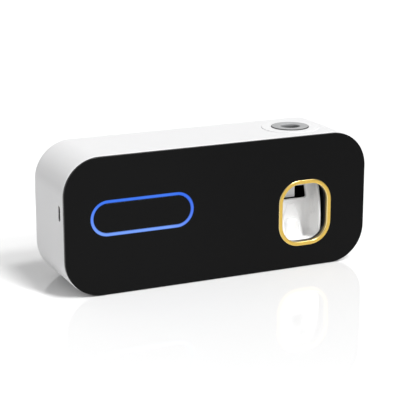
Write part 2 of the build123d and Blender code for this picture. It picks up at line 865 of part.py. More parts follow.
def nozzle_screw_places():
    """The two screws that hold the nozzle block's tab."""
    z = shelf_top_z + tab_height / 2
    return [(shelf_x + sign * nozzle_screw_offset, z) for sign in (-1, 1)]


def make_nozzle_lip():
    """Soft slit valve in the nozzle's mouth."""
    low_z = nozzle_bottom_z + lip_recess
    high_z = nozzle_bottom_z + lip_depth
    lip = slab_z(Circle(nozzle_bore_radius + lip_rim), nozzle_x, port_y, low_z, high_z)
    return lip - slit_cut(nozzle_x, lip_slit_length, low_z, high_z)


def make_nozzle_screws():
    """Two small screws from behind into the nozzle block's tab."""
    return [screw_y(x, z, bay_back_y, False, small_head_radius, small_head_height,
                    small_screw_radius, bay_wall + tab_thickness - fit_gap) for x, z in nozzle_screw_places()]


def lever_side_outline():
    """The lever seen from the side: a leaning curved rim, a straight back and an arm to the ear."""
    centre_y = lever_rim_y + lever_rim_radius
    centre_z = mid_z - lever_rim_drop

    def rim(z):
        return centre_y - math.sqrt(lever_rim_radius ** 2 - (z - centre_z) ** 2)

    low_z = lever_bottom_z
    high_z = mid_z + lever_arc_top_rise
    front = ThreePointArc((rim(low_z), low_z), (rim(centre_z), centre_z), (rim(high_z), high_z))
    ear_y = ear_radius * math.cos(math.radians(arm_lean))
    ear_z = ear_radius * math.sin(math.radians(arm_lean))
    rest = Polyline((rim(high_z), high_z), (pivot_y - ear_y, pivot_z + ear_z),
                    (pivot_y + ear_y, pivot_z - ear_z), (lever_back_y, mid_z + arm_back_rise),
                    (lever_back_y, low_z), (rim(low_z), low_z))
    outline = make_face([front, rest])
    return outline + Pos(pivot_y, pivot_z) * Circle(ear_radius)


def make_dispenser_lever():
    """White scoop that the brush head pushes, with cheeks up to its pivot and a pusher bar."""
    low = lever_bottom_z
    high = pivot_z + ear_radius
    outer_sketch = RectangleRounded(2 * lever_half_width, high - low + lever_corner, lever_corner)
    middle_z = (high + lever_corner + low) / 2
    lever = slab_y(outer_sketch, window_x, middle_z, lever_rim_y, pivot_y + ear_radius)
    inner_half = lever_half_width - lever_wall
    inner_low = low + lever_wall
    inner_corner = lever_corner - lever_wall
    inner_sketch = RectangleRounded(2 * inner_half, high - inner_low + lever_corner, inner_corner)
    inner_z = (high + lever_corner + inner_low) / 2
    cavity = slab_y(inner_sketch, window_x, inner_z, lever_rim_y - cut_margin, lever_back_inner_y)
    cavity = fillet(back_edges(cavity), lever_back_round)
    lever -= cavity
    lever = lever & slab_x(lever_side_outline(), 0, 0, window_x - 2 * lever_half_width,
                           window_x + 2 * lever_half_width)
    lever -= block(window_x - inner_half, window_x + inner_half, lever_back_y, pivot_y + 2 * ear_radius,
                   low, high + cut_margin)
    lever += lever_ramp() + lever_bump()
    lever -= slab_y(notch_outline(), window_x, mid_z - notch_drop, lever_rim_y - cut_margin,
                    lever_back_y + cut_margin)
    lever += block(window_x - inner_half, window_x + inner_half, pusher_front_y, pusher_back_y,
                   mid_z + pusher_low_rise, mid_z + pusher_high_rise)
    lever += slab_y(Circle(spring_stub_radius), window_x, spring_z, lever_back_y,
                    lever_back_y + spring_stub_length)
    for sign in (-1, 1):
        ear_x = window_x + sign * lever_half_width
        outer_x = window_x + sign * (bay_half_width - ear_side_gap)
        boss = Circle(ear_boss_radius)
        lever += slab_x(boss, pivot_y, pivot_z, min(ear_x, outer_x), max(ear_x, outer_x))
        inside_x = window_x + sign * inner_half
        hole = Circle(pin_radius + pin_gap)
        lever -= slab_x(hole, pivot_y, pivot_z, min(inside_x, outer_x), max(inside_x, outer_x))
    curved = lever.faces().filter_by(GeomType.CYLINDER)
    rim = curved.filter_by(lambda face: abs(face.radius - lever_rim_radius) < lever_rim_round)[0]
    return fillet(rim.edges(), lever_rim_round)


def notch_outline():
    """The opening above the scoop's back, drawn up from its lower edge: it narrows a little to its
    shoulders, and above them it's as wide as the lever's inside, clear of the pump."""
    low = notch_half_width
    high = notch_top_half_width
    wide = lever_half_width - lever_wall
    shoulder = notch_taper_rise + notch_shoulder_rise
    top = pivot_z + 2 * ear_radius
    corners = Polyline((-wide, top), (-wide, shoulder), (-high, notch_taper_rise), (-low, 0),
                       (low, 0), (high, notch_taper_rise), (wide, shoulder), (wide, top), close=True)
    outline = make_face(corners)
    return fillet(outline.vertices().group_by(Axis.Y)[0], notch_corner)


def lever_ramp():
    """Wide low swelling on the scoop's back that spreads towards the floor and guides the brush."""
    top_z = mid_z - ramp_top_drop
    low_z = lever_bottom_z + lever_wall / 2
    top = Plane.XY.offset(top_z) * Pos(window_x, lever_back_inner_y)
    low = Plane.XY.offset(low_z) * Pos(window_x, lever_back_inner_y)
    ramp = loft([low * Ellipse(ramp_low_half_width, ramp_low_reach),
                 top * Ellipse(ramp_top_half_width, ramp_top_reach)])
    keep_back_y = lever_back_inner_y + lever_wall / 2
    return ramp & block(window_x - 2 * ramp_low_half_width, window_x + 2 * ramp_low_half_width,
                        lever_rim_y, keep_back_y, low_z, top_z)


def lever_bump():
    """Low rounded pad on the scoop's back that meets the brush head."""
    top_z = mid_z - bump_top_drop
    low_z = lever_bottom_z + lever_wall
    sketch = RectangleRounded(bump_width, top_z - low_z + bump_corner, bump_corner)
    front_y = lever_back_inner_y - bump_reach
    bump = slab_y(sketch, window_x, (top_z + low_z - bump_corner) / 2, front_y, lever_back_inner_y)
    bump = fillet(front_edges(bump), bump_round)
    return bump & block(window_x - bump_width, window_x + bump_width, front_y, lever_back_inner_y,
                        low_z - lever_wall / 2, top_z)


def make_lever_pad():
    """Soft round pad on the pusher bar, just clear of the bulb."""
    z = mid_z + (pusher_low_rise + pusher_high_rise) / 2
    return slab_y(Circle(pad_radius), port_x, z, pusher_back_y, pump_front_y - pad_gap)


def make_lever_pins():
    """Two stub pins that carry the lever's ears."""
    pins = []
    for sign in (-1, 1):
        inner_x = window_x + sign * (lever_half_width - lever_wall)
        outer_x = window_x + sign * (bay_half_width + bay_wall)
        pin = Circle(pin_radius)
        pins.append(slab_x(pin, pivot_y, pivot_z, min(inner_x, outer_x), max(inner_x, outer_x)))
    return pins


def make_lever_spring():
    """Coil behind the scoop that brings the lever forward again."""
    return coil_y(window_x, spring_z, lever_back_y, bay_back_inner_y, lever_spring_radius,
                  lever_spring_wire, lever_spring_turns)


def make_dispenser_housing():
    """Black box behind the window that carries the lever's pins, the pump and the nozzle."""
    outer_half = bay_half_width + bay_wall
    housing = block(window_x - outer_half, window_x + outer_half, carrier_back_y, bay_back_y,
                    bay_floor_z - bay_wall, ceiling_z)
    housing -= block(window_x - bay_half_width, window_x + bay_half_width, carrier_back_y,
                     bay_back_inner_y, bay_floor_z, ceiling_z - bay_ceiling)
    housing -= slab_z(Circle(port_stem_radius + port_stem_gap), port_x, port_y,
                      ceiling_z - bay_ceiling, ceiling_z)
    tab_front_y = carrier_back_y + bay_tab_standoff
    tab_back_y = tab_front_y + bay_tab_thickness
    for x, z in bay_tab_places():
        inner_x = window_x + math.copysign(outer_half, x - window_x)
        outer_x = window_x + math.copysign(outer_half + bay_tab_reach, x - window_x)
        housing += block(min(inner_x, outer_x), max(inner_x, outer_x), tab_front_y, tab_back_y,
                         z - bay_tab_half_height, z + bay_tab_half_height)
        housing -= slab_y(Circle(small_screw_radius + fit_gap), x, z, tab_front_y, tab_back_y)
    hole = Circle(pin_radius + pin_seat_gap)
    housing -= slab_x(hole, pivot_y, pivot_z, window_x - outer_half, window_x + outer_half)
    housing += slab_y(Circle(spring_stub_radius), window_x, spring_z,
                      bay_back_inner_y - spring_stub_length, bay_back_inner_y)
    for x, z in nozzle_screw_places():
        housing -= slab_y(Circle(small_screw_radius + fit_gap), x, z, bay_back_inner_y, bay_back_y)
    return housing


def make_housing_screws():
    """Four small screws that hold the dispenser housing on the carrier."""
    seat = carrier_back_y + bay_tab_standoff + bay_tab_thickness
    return [screw_y(x, z, seat, False, small_head_radius, small_head_height, small_screw_radius,
                    small_screw_length) for x, z in bay_tab_places()]


def make_chamber_liner():
    """Mirror-bright liner of the brush chamber, open below."""
    liner = block(liner_left_x, liner_right_x, liner_front_y, liner_back_y, rack_top_z, liner_top_z)
    liner -= block(liner_left_x + liner_wall, liner_right_x - liner_wall, liner_front_y + liner_wall,
                   liner_back_y - liner_wall, rack_top_z, liner_top_z - liner_wall)
    half_width = lamp_window_width / 2 + lamp_window_gap
    half_depth = lamp_window_depth / 2 + lamp_window_gap
    liner -= block(chamber_x - half_width, chamber_x + half_width, lamp_y - half_depth,
                   lamp_y + half_depth, liner_top_z - liner_wall, liner_top_z)
    stud_x = lamp_board_width / 2 - lamp_stud_inset
    stud_y = lamp_board_depth / 2 - lamp_stud_inset
    for x in (chamber_x - stud_x, chamber_x + stud_x):
        for y in (lamp_y - stud_y, lamp_y + stud_y):
            liner += slab_z(Circle(lamp_stud_radius), x, y, liner_top_z, lamp_board_z)
    return liner


def make_uv_window():
    """Clear strip under the lamps, let into the liner's top."""
    half_width = lamp_window_width / 2
    half_depth = lamp_window_depth / 2
    return block(chamber_x - half_width, chamber_x + half_width, lamp_y - half_depth,
                 lamp_y + half_depth, liner_top_z - liner_wall, liner_top_z)


def make_uv_board():
    """Narrow lamp board on the liner's studs."""
    return block(chamber_x - lamp_board_width / 2, chamber_x + lamp_board_width / 2,
                 lamp_y - lamp_board_depth / 2, lamp_y + lamp_board_depth / 2,
                 lamp_board_z, lamp_board_z + lamp_board_thickness)


def make_uv_leds():
    """One ultraviolet lamp above each brush."""
    half = lamp_led_side / 2
    return [block(x - half, x + half, lamp_y - half, lamp_y + half, lamp_board_z - lamp_led_height,
                  lamp_board_z) for x in slot_places()]


def make_brush_rack():
    """Rack in the bottom, with a keyhole for each brush: the head goes in and the neck slides back."""
    rack = rack_outline(fit_gap, rack_recess, wall)
    left = liner_left_x
    flange_front = rack_front_y - rack_flange
    flange_back = rack_back_y + rack_flange
    rack += block(left, liner_right_x, flange_front, flange_back, wall, rack_top_z)
    for x in slot_places():
        rack -= slab_z(Circle(slot_wide_radius), x, slot_wide_y, rack_recess, rack_top_z)
        half = slot_neck_width / 2
        rack -= block(x - half, x + half, slot_wide_y, slot_end_y, rack_recess, rack_top_z)
        rack -= slab_z(Circle(half), x, slot_end_y, rack_recess, rack_top_z)
    return rack


def make_brush_grips():
    """Soft clips that hold the brush necks at the ends of the slots."""
    grips = []
    for x in slot_places():
        ring = slab_z(Circle(grip_outer_radius), x, slot_end_y, rack_top_z, rack_top_z + grip_height)
        ring -= slab_z(Circle(grip_inner_radius), x, slot_end_y, rack_top_z, rack_top_z + grip_height)
        mouth_front = slot_end_y - 2 * grip_outer_radius
        grips.append(ring - block(x - grip_mouth / 2, x + grip_mouth / 2, mouth_front, slot_end_y,
                                  rack_top_z, rack_top_z + grip_height))
    return grips


def make_battery_cell():
    """Flat rechargeable cell, on edge beside the dispenser."""
    back = cover_front_y - cradle_wall - cradle_gap
    cell = block(cell_left_x, cell_left_x + cell_thickness, back - cell_depth, back,
                 mid_z - cell_height / 2, mid_z + cell_height / 2)
    return fillet(cell.edges().filter_by(Axis.Z), cell_round)


def make_battery_cradle():
    """Tray on the back cover that holds the cell, open to the right."""
    gap = cradle_gap
    front = cover_front_y - 2 * cradle_wall - 2 * gap - cell_depth
    right = cell_left_x + cell_thickness
    half = cell_height / 2 + gap
    tray = block(cradle_left_x, right, front, cover_front_y, mid_z - half - cradle_wall,
                 mid_z + half + cradle_wall)
    tray -= block(cradle_left_x + cradle_wall, right, front + cradle_wall, cover_front_y - cradle_wall,
                  mid_z - half, mid_z + half)
    x, y = battery_lead_place()
    notch = battery_lead_radius + gap
    return tray - block(x - notch, right, y - notch, y + notch, mid_z - half - cradle_wall, mid_z - half)


def battery_lead_place():
    """Where the battery lead leaves the bottom of the cell."""
    return (cell_left_x + battery_lead_inset, cover_front_y - cradle_wall - cradle_gap - cell_depth / 2)


def make_battery_lead():
    """Sleeved lead from the cell, under the dispenser, to the board's connector."""
    x, y = battery_lead_place()
    plug_x, plug_z = battery_plug_place()
    low_z = wall + lead_floor_gap
    side_x = bay_left_x - liner_right_gap / 2
    front_y = board_back_y + liner_front_gap / 2
    points = [(x, y, mid_z - cell_height / 2), (x, y, low_z), (side_x, y, low_z), (side_x, front_y, low_z),
              (plug_x, front_y, low_z), (plug_x, front_y, plug_z - connector_height / 2)]
    return tube(points, battery_lead_radius, lead_bend)


def make_lamp_lead():
    """Sleeved lead from the board's connector up to the lamp board."""
    plug_x, plug_z = lamp_plug_place()
    front_y = board_back_y + liner_front_gap / 2
    lamp_z = lamp_board_z + lamp_board_thickness / 2
    points = [(plug_x, front_y, plug_z + connector_height / 2), (plug_x, front_y, lamp_z),
              (plug_x, lamp_y - lamp_board_depth / 2, lamp_z)]
    return tube(points, lead_radius, lead_bend)


def save(name, shape):
    """Write one sub-part, a solid or a list of like solids."""
    solids = shape if isinstance(shape, list) else [shape]
    found = [solid for piece in solids for solid in piece.solids()]
    whole = found[0] if len(found) == 1 else Compound(children=found)
    export_step(whole, os.path.join("parts", name + ".step"))


os.makedirs("parts", exist_ok=True)
save("shell", make_shell())
save("back_cover", make_back_cover())
save("back_cover_screws", make_back_cover_screws())
save("front_panel", make_front_panel())
save("panel_carrier", make_panel_carrier())
save("carrier_screws", make_carrier_screws())
save("light_ring", make_light_ring())
save("power_key", make_power_key())
save("key_clips", make_key_clips())
save("key_springs", make_key_springs())
save("window_trim", make_window_trim())
save("main_board", make_main_board())
save("board_screws", make_board_screws())
save("board_parts", make_board_parts())
save("ring_leds", make_ring_leds())
save("tact_switch", make_tact_switch())
save("switch_plunger", make_switch_plunger())
save("usb_socket", make_usb_socket())
save("usb_tongue", make_usb_tongue())
save("port_collar", make_port_collar())
save("port_seat", make_port_seat())
save("inlet_valve", make_inlet_valve())
save("pump_bulb", make_pump_bulb())
save("nozzle_block", make_nozzle_block())
save("nozzle_lip", make_nozzle_lip())
save("nozzle_screws", make_nozzle_screws())
save("dispenser_lever", make_dispenser_lever())
save("lever_pad", make_lever_pad())
save("lever_pins", make_lever_pins())
save("lever_spring", make_lever_spring())
save("dispenser_housing", make_dispenser_housing())
save("housing_screws", make_housing_screws())
save("chamber_liner", make_chamber_liner())
save("uv_window", make_uv_window())
save("uv_board", make_uv_board())
save("uv_leds", make_uv_leds())
save("brush_rack", make_brush_rack())
save("brush_grips", make_brush_grips())
save("battery_cell", make_battery_cell())
save("battery_cradle", make_battery_cradle())
save("battery_lead", make_battery_lead())
save("lamp_lead", make_lamp_lead())
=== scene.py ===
import json
import math

import bpy
import numpy as np
from mathutils import Matrix, Vector


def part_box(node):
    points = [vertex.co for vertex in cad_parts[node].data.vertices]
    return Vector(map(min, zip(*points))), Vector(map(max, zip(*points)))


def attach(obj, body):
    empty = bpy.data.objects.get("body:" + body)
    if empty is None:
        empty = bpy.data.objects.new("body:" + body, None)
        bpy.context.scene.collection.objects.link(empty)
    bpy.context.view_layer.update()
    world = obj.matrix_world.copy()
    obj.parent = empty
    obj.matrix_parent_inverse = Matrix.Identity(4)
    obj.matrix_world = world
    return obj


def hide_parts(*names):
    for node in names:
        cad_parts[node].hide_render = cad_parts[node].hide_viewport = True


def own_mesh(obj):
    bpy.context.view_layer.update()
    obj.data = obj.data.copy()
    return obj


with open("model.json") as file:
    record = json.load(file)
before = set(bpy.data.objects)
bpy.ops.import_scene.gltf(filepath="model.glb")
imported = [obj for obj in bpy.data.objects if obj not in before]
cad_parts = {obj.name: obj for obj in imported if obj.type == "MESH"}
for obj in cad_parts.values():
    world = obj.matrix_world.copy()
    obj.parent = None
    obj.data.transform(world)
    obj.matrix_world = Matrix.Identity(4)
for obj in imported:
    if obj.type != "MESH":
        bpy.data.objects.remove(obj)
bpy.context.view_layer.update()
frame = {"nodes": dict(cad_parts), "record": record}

# Landscape toothbrush steriliser with a push-lever paste dispenser. Metres, in the frame of the CAD model:
# +X right seen from the front, +Y to the wall, +Z up, the floor at z 0. The pieces' own functions work in
# millimetres and turn their points to metres at the end.

mm = 0.001


# Camera, floor and light

def make_camera():
    """The photograph's view: from the upper left of the face, through a long lens."""
    place = (-0.3476, -0.7485, 0.2656)
    right = Vector((0.90805, -0.41887, 0.0))
    up = Vector((0.10895, 0.23616, 0.96559))
    back = Vector((-0.40445, -0.8768, 0.26008))
    data = bpy.data.cameras.new("camera")
    data.lens = 124.36
    data.sensor_width = 36.0
    data.clip_start = 0.05
    data.clip_end = 20.0
    camera = bpy.data.objects.new("camera", data)
    turn = Matrix((right, up, back)).transposed().to_4x4()
    camera.matrix_world = Matrix.Translation(place) @ turn
    bpy.context.scene.collection.objects.link(camera)
    bpy.context.scene.camera = camera


def make_floor():
    """A pale glossy plane that the object stands on; it mirrors the object faintly."""
    half = 6.0
    paleness = 0.93
    mesh = bpy.data.meshes.new("floor")
    corners = [(-half, -half, 0), (half, -half, 0), (half, half, 0), (-half, half, 0)]
    mesh.from_pydata(corners, [], [(0, 1, 2, 3)])
    floor = bpy.data.objects.new("floor", mesh)
    bpy.context.scene.collection.objects.link(floor)
    material = bpy.data.materials.new("pale floor")
    material.use_nodes = True
    shader = material.node_tree.nodes["Principled BSDF"]
    shader.inputs["Base Color"].default_value = (paleness, paleness, paleness, 1)
    shader.inputs["Roughness"].default_value = 0.0
    shader.inputs["Specular IOR Level"].default_value = 0.5
    floor.data.materials.append(material)


def make_surround():
    """Soft white surround that brightens upwards and is dimmer on the left, with a white backdrop low behind
    the object. Each range is a pair of values of the direction looked in, from -1 to 1 along X, Y or Z."""
    horizon_light = 0.12
    zenith_light = 0.4
    left_share = 0.2
    dim_to_full = (-1.0, 0.1)
    backdrop_light = 0.95
    backdrop_begins = (0.3, 0.7)
    backdrop_ends = (0.35, 0.6)
    world = bpy.data.worlds.new("surround")
    bpy.context.scene.world = world
    world.use_nodes = True
    tree = world.node_tree
    background = tree.nodes["Background"]
    place = add_node(tree, "ShaderNodeTexCoord")
    parts = add_node(tree, "ShaderNodeSeparateXYZ", {"Vector": place.outputs["Generated"]}).outputs
    climb = remap(tree, parts["Z"], 0.0, 1.0, horizon_light, zenith_light)
    across = remap(tree, parts["X"], *dim_to_full, left_share, 1.0)
    soft_light = maths(tree, "MULTIPLY", climb, across)
    behind = remap(tree, parts["Y"], *backdrop_begins, 0.0, 1.0)
    near_floor = remap(tree, parts["Z"], *backdrop_ends, 1.0, 0.0)
    backdrop = maths(tree, "MULTIPLY", maths(tree, "MULTIPLY", behind, near_floor), backdrop_light)
    tree.links.new(maths(tree, "MAXIMUM", soft_light, backdrop), background.inputs["Strength"])
    background.inputs["Color"].default_value = (1, 1, 1, 1)


def make_lamp(name, energy, spread, towards):
    """A distant broad lamp towards a direction; its spread is the angle that it fills, in degrees."""
    data = bpy.data.lights.new(name, "SUN")
    data.energy = energy
    data.angle = math.radians(spread)
    lamp = bpy.data.objects.new(name, data)
    lamp.rotation_mode = "QUATERNION"
    lamp.rotation_quaternion = Vector(towards).to_track_quat("Z", "Y")
    bpy.context.scene.collection.objects.link(lamp)


def make_tall_soft_box():
    """A tall soft box at the front right: three lamps above each other in one compass direction."""
    energy = 1.22
    spread = 11
    across = 0.402
    forward = -0.916
    for climb in (38, 53, 68):
        level = math.cos(math.radians(climb))
        rise = math.sin(math.radians(climb))
        make_lamp(f"key at {climb} degrees", energy, spread, (across * level, forward * level, rise))


# Node helpers

def add_node(tree, kind, inputs=None, **settings):
    """A node with its settings, and with inputs set to values or joined to other nodes' outputs."""
    node = tree.nodes.new(kind)
    for name, value in settings.items():
        setattr(node, name, value)
    for name, value in (inputs or {}).items():
        if isinstance(value, bpy.types.NodeSocket):
            tree.links.new(value, node.inputs[name])
        else:
            node.inputs[name].default_value = value
    return node


def noise(tree, point, scale, detail=2.0):
    """Cloudy noise, from 0 to 1, about 0.5."""
    inputs = {"Vector": point, "Scale": scale, "Detail": detail, "Roughness": 0.55}
    return add_node(tree, "ShaderNodeTexNoise", inputs).outputs["Fac"]


def maths(tree, operation, *values):
    """One sum on single values."""
    node = add_node(tree, "ShaderNodeMath", dict(enumerate(values)), operation=operation)
    return node.outputs["Value"]


def remap(tree, value, low, high, to_low, to_high):
    """A value carried from one range to another and kept inside it."""
    inputs = {"Value": value, "From Min": low, "From Max": high, "To Min": to_low, "To Max": to_high}
    return add_node(tree, "ShaderNodeMapRange", inputs).outputs["Result"]


def swing(tree, cloud, reach):
    """Noise, which keeps mostly to a band about 0.5, carried to swing a reach either way about 0."""
    band_low, band_high = 0.3, 0.7
    return remap(tree, cloud, band_low, band_high, -reach, reach)


def mixed(tree, factor, first, second):
    """A colour between two colours. The mix node has sockets for other kinds of value too, so the factor, the
    two colours and the result are found by number."""
    factor_socket, first_socket, second_socket, result_socket = 0, 6, 7, 2
    inputs = {factor_socket: factor, first_socket: first, second_socket: second}
    return add_node(tree, "ShaderNodeMix", inputs, data_type="RGBA").outputs[result_socket]


def bumped(tree, height, distance, normal=None):
    """A normal tilted by a height, after another normal if there is one."""
    inputs = {"Height": height, "Distance": distance}
    if normal is not None:
        inputs["Normal"] = normal
    return add_node(tree, "ShaderNodeBump", inputs).outputs["Normal"]


def shaded(tree, tone, factor):
    """A colour made lighter or darker by a factor."""
    return add_node(tree, "ShaderNodeHueSaturation", {"Color": tone, "Value": factor}).outputs["Color"]


def new_effect(name, inputs, outputs):
    """An empty shared effect with named sockets: its tree and the two nodes that stand for them."""
    kinds = {"vector": "NodeSocketVector", "value": "NodeSocketFloat", "tone": "NodeSocketColor"}
    tree = bpy.data.node_groups.new(name, "ShaderNodeTree")
    for label, kind in inputs.items():
        tree.interface.new_socket(name=label, in_out="INPUT", socket_type=kinds[kind])
    for label, kind in outputs.items():
        tree.interface.new_socket(name=label, in_out="OUTPUT", socket_type=kinds[kind])
    return tree, tree.nodes.new("NodeGroupInput").outputs, tree.nodes.new("NodeGroupOutput").inputs


# Shared effects. Scales are clouds to a metre.

def make_moulded_skin():
    """Moulded plastic or rubber: a fine grain, a slow swell from the mould, and a drifting tone and gloss."""
    swell_scale = 38.0
    drift_scale = 90.0
    grain_share = 0.5
    tree, given, result = new_effect(
        "moulded skin",
        {"Point": "vector", "Tone": "tone", "Tone Spread": "value", "Roughness": "value",
         "Roughness Spread": "value", "Grain Size": "value", "Grain Depth": "value",
         "Swell Depth": "value"},
        {"Tone": "tone", "Roughness": "value", "Normal": "vector"})
    fineness = maths(tree, "DIVIDE", 1.0, given["Grain Size"])
    grain = noise(tree, given["Point"], fineness, detail=3.0)
    swell = noise(tree, given["Point"], swell_scale)
    drift = swing(tree, noise(tree, given["Point"], drift_scale, detail=4.0), 1.0)
    lighter = maths(tree, "MULTIPLY_ADD", drift, given["Tone Spread"], 1.0)
    both = maths(tree, "ADD", drift, swing(tree, grain, grain_share))
    normal = bumped(tree, grain, given["Grain Depth"])
    normal = bumped(tree, swell, given["Swell Depth"], normal)
    tree.links.new(shaded(tree, given["Tone"], lighter), result["Tone"])
    tree.links.new(maths(tree, "MULTIPLY_ADD", both, given["Roughness Spread"], given["Roughness"]),
                   result["Roughness"])
    tree.links.new(normal, result["Normal"])
    return tree


def make_drawn_metal():
    """Drawn, rolled or plated metal: marks stretched along one way, and a tone and a gloss that follow."""
    cloud_scale = 120.0
    mark_share, cloud_share = 0.6, 0.4
    tree, given, result = new_effect(
        "drawn metal",
        {"Point": "vector", "Stretch": "vector", "Tone": "tone", "Tone Spread": "value",
         "Roughness": "value", "Roughness Spread": "value", "Mark Depth": "value"},
        {"Tone": "tone", "Roughness": "value", "Normal": "vector"})
    drawn = add_node(tree, "ShaderNodeVectorMath", {0: given["Point"], 1: given["Stretch"]},
                     operation="MULTIPLY").outputs["Vector"]
    marks = noise(tree, drawn, 1.0, detail=4.0)
    clouds = noise(tree, given["Point"], cloud_scale)
    both = maths(tree, "ADD", swing(tree, marks, mark_share), swing(tree, clouds, cloud_share))
    lighter = maths(tree, "MULTIPLY_ADD", both, given["Tone Spread"], 1.0)
    tree.links.new(shaded(tree, given["Tone"], lighter), result["Tone"])
    tree.links.new(maths(tree, "MULTIPLY_ADD", both, given["Roughness Spread"], given["Roughness"]),
                   result["Roughness"])
    tree.links.new(bumped(tree, marks, given["Mark Depth"]), result["Normal"])
    return tree


def make_wiped_gloss():
    """A glossy face that has been wiped: faint broad smears that dull it and hair-fine marks along them."""
    smear_scale = 14.0
    hair_scale = 260.0
    lean = (0.2, 0.6, 0.4)
    stretch = (1.0, 1.0, 3.5)
    faint_to_full = (0.45, 0.75)
    tree, given, result = new_effect(
        "wiped gloss",
        {"Point": "vector", "Roughness": "value", "Smear": "value", "Hair Depth": "value",
         "Normal": "vector"},
        {"Roughness": "value", "Normal": "vector"})
    wiped = add_node(tree, "ShaderNodeMapping", {"Vector": given["Point"], "Rotation": lean,
                                                 "Scale": stretch}).outputs["Vector"]
    smear = remap(tree, noise(tree, wiped, smear_scale, detail=5.0), *faint_to_full, 0.0, 1.0)
    hairs = noise(tree, wiped, hair_scale, detail=5.0)
    dulled = maths(tree, "MULTIPLY_ADD", smear, given["Smear"], given["Roughness"])
    tree.links.new(dulled, result["Roughness"])
    tree.links.new(bumped(tree, hairs, given["Hair Depth"], given["Normal"]), result["Normal"])
    return tree


def make_settled_dust():
    """A thin dust on what faces up, thicker in patches, as a mask."""
    patch_scale = 160.0
    steep_to_level = (0.3, 0.95)
    thin_to_thick = (0.35, 0.7)
    thinnest = 0.2
    tree, given, result = new_effect(
        "settled dust",
        {"Point": "vector", "Facing": "vector", "Amount": "value"},
        {"Mask": "value"})
    lift = add_node(tree, "ShaderNodeSeparateXYZ", {"Vector": given["Facing"]}).outputs["Z"]
    held = remap(tree, lift, *steep_to_level, 0.0, 1.0)
    clouds = noise(tree, given["Point"], patch_scale, detail=6.0)
    patches = remap(tree, clouds, *thin_to_thick, thinnest, 1.0)
    cover = maths(tree, "MULTIPLY", held, patches)
    tree.links.new(maths(tree, "MULTIPLY", cover, given["Amount"]), result["Mask"])
    return tree


moulded_skin = make_moulded_skin()
drawn_metal = make_drawn_metal()
wiped_gloss = make_wiped_gloss()
settled_dust = make_settled_dust()


# Finishes. Each function that takes no values makes the finish of the record slot with its name, apart from
# seat_silicone and contact_gold, which two of the pieces made here wear in place of their slot's finish.

def new_finish(name):
    """An empty finish: its material, tree, shader and the object's own coordinates and normal."""
    material = bpy.data.materials.new(name)
    material.use_nodes = True
    tree = material.node_tree
    place = add_node(tree, "ShaderNodeTexCoord")
    return material, tree, tree.nodes["Principled BSDF"], place.outputs["Object"], place.outputs["Normal"]


def use_effect(tree, effect, inputs):
    """A shared effect placed in a finish with its own values."""
    return add_node(tree, "ShaderNodeGroup", inputs, node_tree=effect).outputs


def moulded(name, tone, roughness, gloss=0.35, spread=0.012, rough_spread=0.03, grain=0.5, grain_depth=0.01,
            swell=0.05, dust=0.0, smear=0.0):
    """A moulded finish; grain, depth and swell in millimetres, gloss as the shader's specular level."""
    hair_depth = 0.0015
    dust_tone = (0.55, 0.53, 0.5, 1)
    dust_dulls = 0.4
    material, tree, shader, point, facing = new_finish(name)
    skin = use_effect(tree, moulded_skin, {
        "Point": point, "Tone": (*tone, 1), "Tone Spread": spread, "Roughness": roughness,
        "Roughness Spread": rough_spread, "Grain Size": grain * mm, "Grain Depth": grain_depth * mm,
        "Swell Depth": swell * mm})
    colour, rough, normal = skin["Tone"], skin["Roughness"], skin["Normal"]
    if smear:
        wiped = use_effect(tree, wiped_gloss, {"Point": point, "Roughness": rough, "Smear": smear,
                                               "Hair Depth": hair_depth * mm, "Normal": normal})
        rough, normal = wiped["Roughness"], wiped["Normal"]
    if dust:
        mask = use_effect(tree, settled_dust, {"Point": point, "Facing": facing, "Amount": dust})["Mask"]
        colour = mixed(tree, mask, colour, dust_tone)
        rough = maths(tree, "MULTIPLY_ADD", mask, dust_dulls, rough)
    tree.links.new(colour, shader.inputs["Base Color"])
    tree.links.new(rough, shader.inputs["Roughness"])
    tree.links.new(normal, shader.inputs["Normal"])
    shader.inputs["Specular IOR Level"].default_value = gloss
    return material, tree, shader


def metal(name, tone, roughness, stretch=(900, 900, 900), spread=0.06, rough_spread=0.06, depth=0.004):
    """A metal finish; stretch is how fine its marks are along X, Y and Z, per metre."""
    material, tree, shader, point, _ = new_finish(name)
    drawn = use_effect(tree, drawn_metal, {
        "Point": point, "Stretch": stretch, "Tone": (*tone, 1), "Tone Spread": spread,
        "Roughness": roughness, "Roughness Spread": rough_spread, "Mark Depth": depth * mm})
    tree.links.new(drawn["Tone"], shader.inputs["Base Color"])
    tree.links.new(drawn["Roughness"], shader.inputs["Roughness"])
    tree.links.new(drawn["Normal"], shader.inputs["Normal"])
    shader.inputs["Metallic"].default_value = 1.0
    return material, tree, shader


def white_shell():
    """Satin white sleeve."""
    return moulded("satin white sleeve", (0.725, 0.725, 0.73), 0.5, gloss=0.2, spread=0.006, grain=0.6,
                   grain_depth=0.006, swell=0.04, dust=0.02)[0]


def white_cover():
    """Fine matt grain on the back cover."""
    return moulded("matt white cover", (0.72, 0.72, 0.725), 0.62, gloss=0.25, grain=0.7,
                   grain_depth=0.03)[0]


def white_collar():
    """Disc that closes the top round the port, in the sleeve's own white."""
    return moulded("satin white collar", (0.75, 0.75, 0.755), 0.45, gloss=0.25, spread=0.006,
                   grain_depth=0.005, dust=0.03)[0]


def white_nozzle():
    """Smooth white outlet block."""
    return moulded("smooth white nozzle", (0.92, 0.92, 0.92), 0.35, spread=0.008, grain_depth=0.003)[0]


def white_lever():
    """Polished white scoop, a little dull where brush heads rub it."""
    # Its white is lighter than the sleeve's: painted light that brightens the scoop deep in the window, where
    # the lamps reach little.
    return moulded("polished white scoop", (0.93, 0.93, 0.93), 0.3, gloss=0.45, spread=0.006,
                   rough_spread=0.05, grain_depth=0.002, swell=0.08)[0]


def white_rack():
    """Matt white rack in the slots."""
    return moulded("matt white rack", (0.8, 0.8, 0.81), 0.55, grain_depth=0.02)[0]


